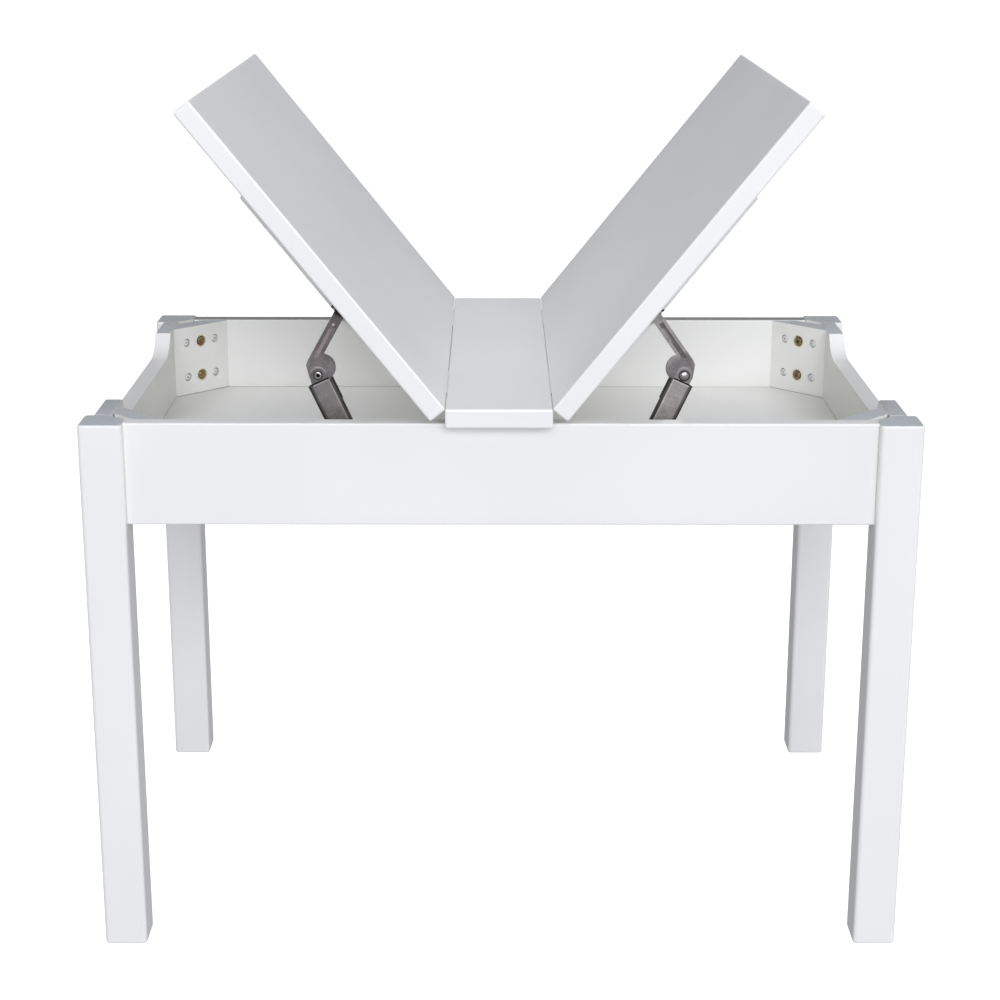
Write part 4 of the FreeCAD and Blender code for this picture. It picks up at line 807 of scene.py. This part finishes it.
# The rivets' heads are painted lighter than the rest of the steel: painted highlight. The bore of
# the knee rivet is painted near black and dull: painted shade in the hollow.
left_knee = joints["stay_left_knee"]["pos_m"]
rivet_steel = stay_steel("zinc_rivets_painted_highlight", left_knee, 0.0, "#BAB7B4", rough=0.30)
painted_bore_shade = stay_steel("rivet_bore_painted_shade", left_knee, 0.0, "#1E1C1B", rough=0.6)
for side, stay in STAYS.items():
    flap = FLAPS[side]
    way = flap["way"]
    knee = Vector(joints[f"stay_{side}_knee"]["pos_m"])
    pivot = Vector(joints[f"stay_{side}_flap_pivot"]["pos_m"])
    fold, shade = stay["fold"], stay["shade"]
    channel_steel = stay_steel("dull_zinc_channel_" + side, knee, CHANNEL_LEAN, stay["web"], (
        (stay["ear"], [("Z", -0.0076, -0.0074)]),
        # Painted shade on the outer fold and its back, and on the back of the inner fold.
        ("#6E6A67", [("X", fold, fold + 0.0006)]),
        ("#4F4C4A", [("X", 0.0112, 0.0124)]),
        ("#55524F", [("X", -0.0090, -0.0096)]),
        # Painted highlights on the lips along the inner fold and along the top of the web, and a
        # painted shadow line in the gap over that.
        (stay["lip"], [("X", -0.0094, -0.0090), ("X", -0.0076, -0.0082), ("Z", -0.0073, -0.0075)]),
        (stay["lip"], [("X", -0.0094, -0.0090), ("X", 0.0096, 0.0092), ("Z", -0.0073, -0.0075),
                       ("Z", -0.0091, -0.0087)]),
        ("#171615", [("R", 0.0250, 0.0240), ("Z", -0.0076, -0.0074), ("Z", -0.0058, -0.0063)]),
        # A painted highlight on the ear's rim, and the rivet's painted shade on the ear.
        ("#B4AFAB", [("R", 0.0076, 0.0081), ("X", 0.0070, 0.0040), ("Z", -0.0020, 0.0010)]),
        ("#393735", [("R", shade + 0.0012, shade + 0.0009)])))
    arm_steel = stay_steel("dull_zinc_arm_" + side, knee, stay["lean"], "#8E8986",
                           ((stay["shank"], [("Z", 0.0160, 0.0230)]),) + stay["arm_marks"])
    # The plates are the same steel painted darker: painted shade, as they sit in shadow under the
    # flap and behind the rail.
    shaded_plate_steel = stay_steel("dull_zinc_plates_painted_shade_" + side, knee, CHANNEL_LEAN, "#5A5754")
    steel_piece("stay_arm_" + side, merged("stay_arm_" + side), [arm_steel], "arm_" + side, 0.0003)
    steel_piece("stay_channel_" + side,
                stepped_channel("stay_channel_" + side, way, knee, stay["flare"]),
                [channel_steel], "channel_" + side, 0.00035)
    steel_piece("stay_base_bracket_" + side, merged("stay_base_bracket_" + side), [shaded_plate_steel],
                "frame", 0.0003)

    # The knee rivet is domed at one end and flared open at the other, and its hollow is painted
    # near black as shade.
    knee_head = dome(0.0049, RIVET_HALF, 0.0020)[::-1]
    knee_shank = [(0.0030, RIVET_HALF), (0.0030, -RIVET_HALF)]
    knee_flare = [(0.0037, -RIVET_HALF), (0.0039, -0.0034), (0.0037, -0.0039), (0.0032, -0.0041),
                  (0.0025, -0.0041)]
    knee_bore = [(0.0019, -0.0037), (0.0018, -0.0011), (0, -0.0011)]
    outside = knee_head + knee_shank + knee_flare
    steel_piece("stay_knee_rivet_" + side,
                turned(outside + knee_bore, knee, (0, -way, 0), inner=len(outside)),
                [rivet_steel, painted_bore_shade], "channel_" + side)
    pin_head = dome(0.0040, PIN_HALF, 0.0015)
    pin_foot = [(radius, -height) for radius, height in pin_head][::-1]
    steel_piece("stay_base_pin_" + side,
                turned(pin_foot + [(0.0025, -PIN_HALF), (0.0025, PIN_HALF)] + pin_head,
                       (way * BASE_X, STAY_Y, BASE_Z), (0, -1, 0)),
                [rivet_steel], "channel_" + side)
    steel_piece("stay_flap_pivot_" + side,
                turned([(0, 0), (0.0030, 0), (0.0030, PLATE), (0.0050, PLATE), (0.0050, 0.0059),
                        (0.0030, 0.0059), (0.0030, 0.0091)] + dome(0.0055, 0.0091, 0.0018),
                       (pivot.x, BATTEN_FACE, pivot.z), (0, -1, 0)),
                [rivet_steel], "flap_" + side)

    # The plate on the batten: a strip for the two screws and, at the pivot, a notched tab.
    face = Vector((pivot.x, BATTEN_FACE - PLATE, pivot.z))
    plate = bmesh.new()
    corners = [plate.verts.new(face + 0.001 * (along * flap["along"] - up * flap["under"]))
               for along, up in ((-23, -1.5), (-22, -3.8), (-19.5, -5), (-8.5, -5), (-8.5, -9.2),
                                 (2.5, -9.2), (4.6, -6.6), (6.7, -9.2), (8.5, -9.2), (8.5, -5),
                                 (19.5, -5), (22, -3.8), (23, -1.5), (23, 4), (21, 7), (18, 8),
                                 (-18, 8), (-21, 7), (-23, 4))]
    made = bmesh.ops.extrude_face_region(plate, geom=[plate.faces.new(corners)])
    for corner in made["geom"]:
        if isinstance(corner, bmesh.types.BMVert):
            corner.co.y += PLATE
    bmesh.ops.recalc_face_normals(plate, faces=plate.faces)
    steel_piece("stay_flap_bracket_" + side, plate, [shaded_plate_steel], "flap_" + side, 0.0003)
    stand_fasteners("stay_flap_screws_" + side, cross_screws,
                    [(face + step * flap["along"], (0, -1, 0))
                     for step in (-PLATE_SCREW_STEP, PLATE_SCREW_STEP)],
                    {"Head radius": 0.0034, "Head height": 0.0018, "Crown": 0.5,
                     "Shank radius": 0.00175, "Shank length": 0.016, "Recess radius": 0.0018,
                     "Recess width": 0.0008, "Recess depth": 0.001},
                    rivet_steel, "flap_" + side)

# The screws of the clevises stand on their 2 mm feet.
FOOT_TOP, FOOT_SCREW_STEP = 0.508, 0.0165
stand_fasteners("stay_base_screws", cross_screws,
                [((way * (BASE_X + step), STAY_Y, FOOT_TOP), (0, 0, 1))
                 for way in (-1, 1) for step in (-FOOT_SCREW_STEP, FOOT_SCREW_STEP)],
                {"Head radius": 0.0028, "Head height": 0.0016, "Crown": 0.5, "Shank radius": 0.0015,
                 "Shank length": 0.007, "Recess radius": 0.0015, "Recess width": 0.0007,
                 "Recess depth": 0.0009},
                rivet_steel, "frame")
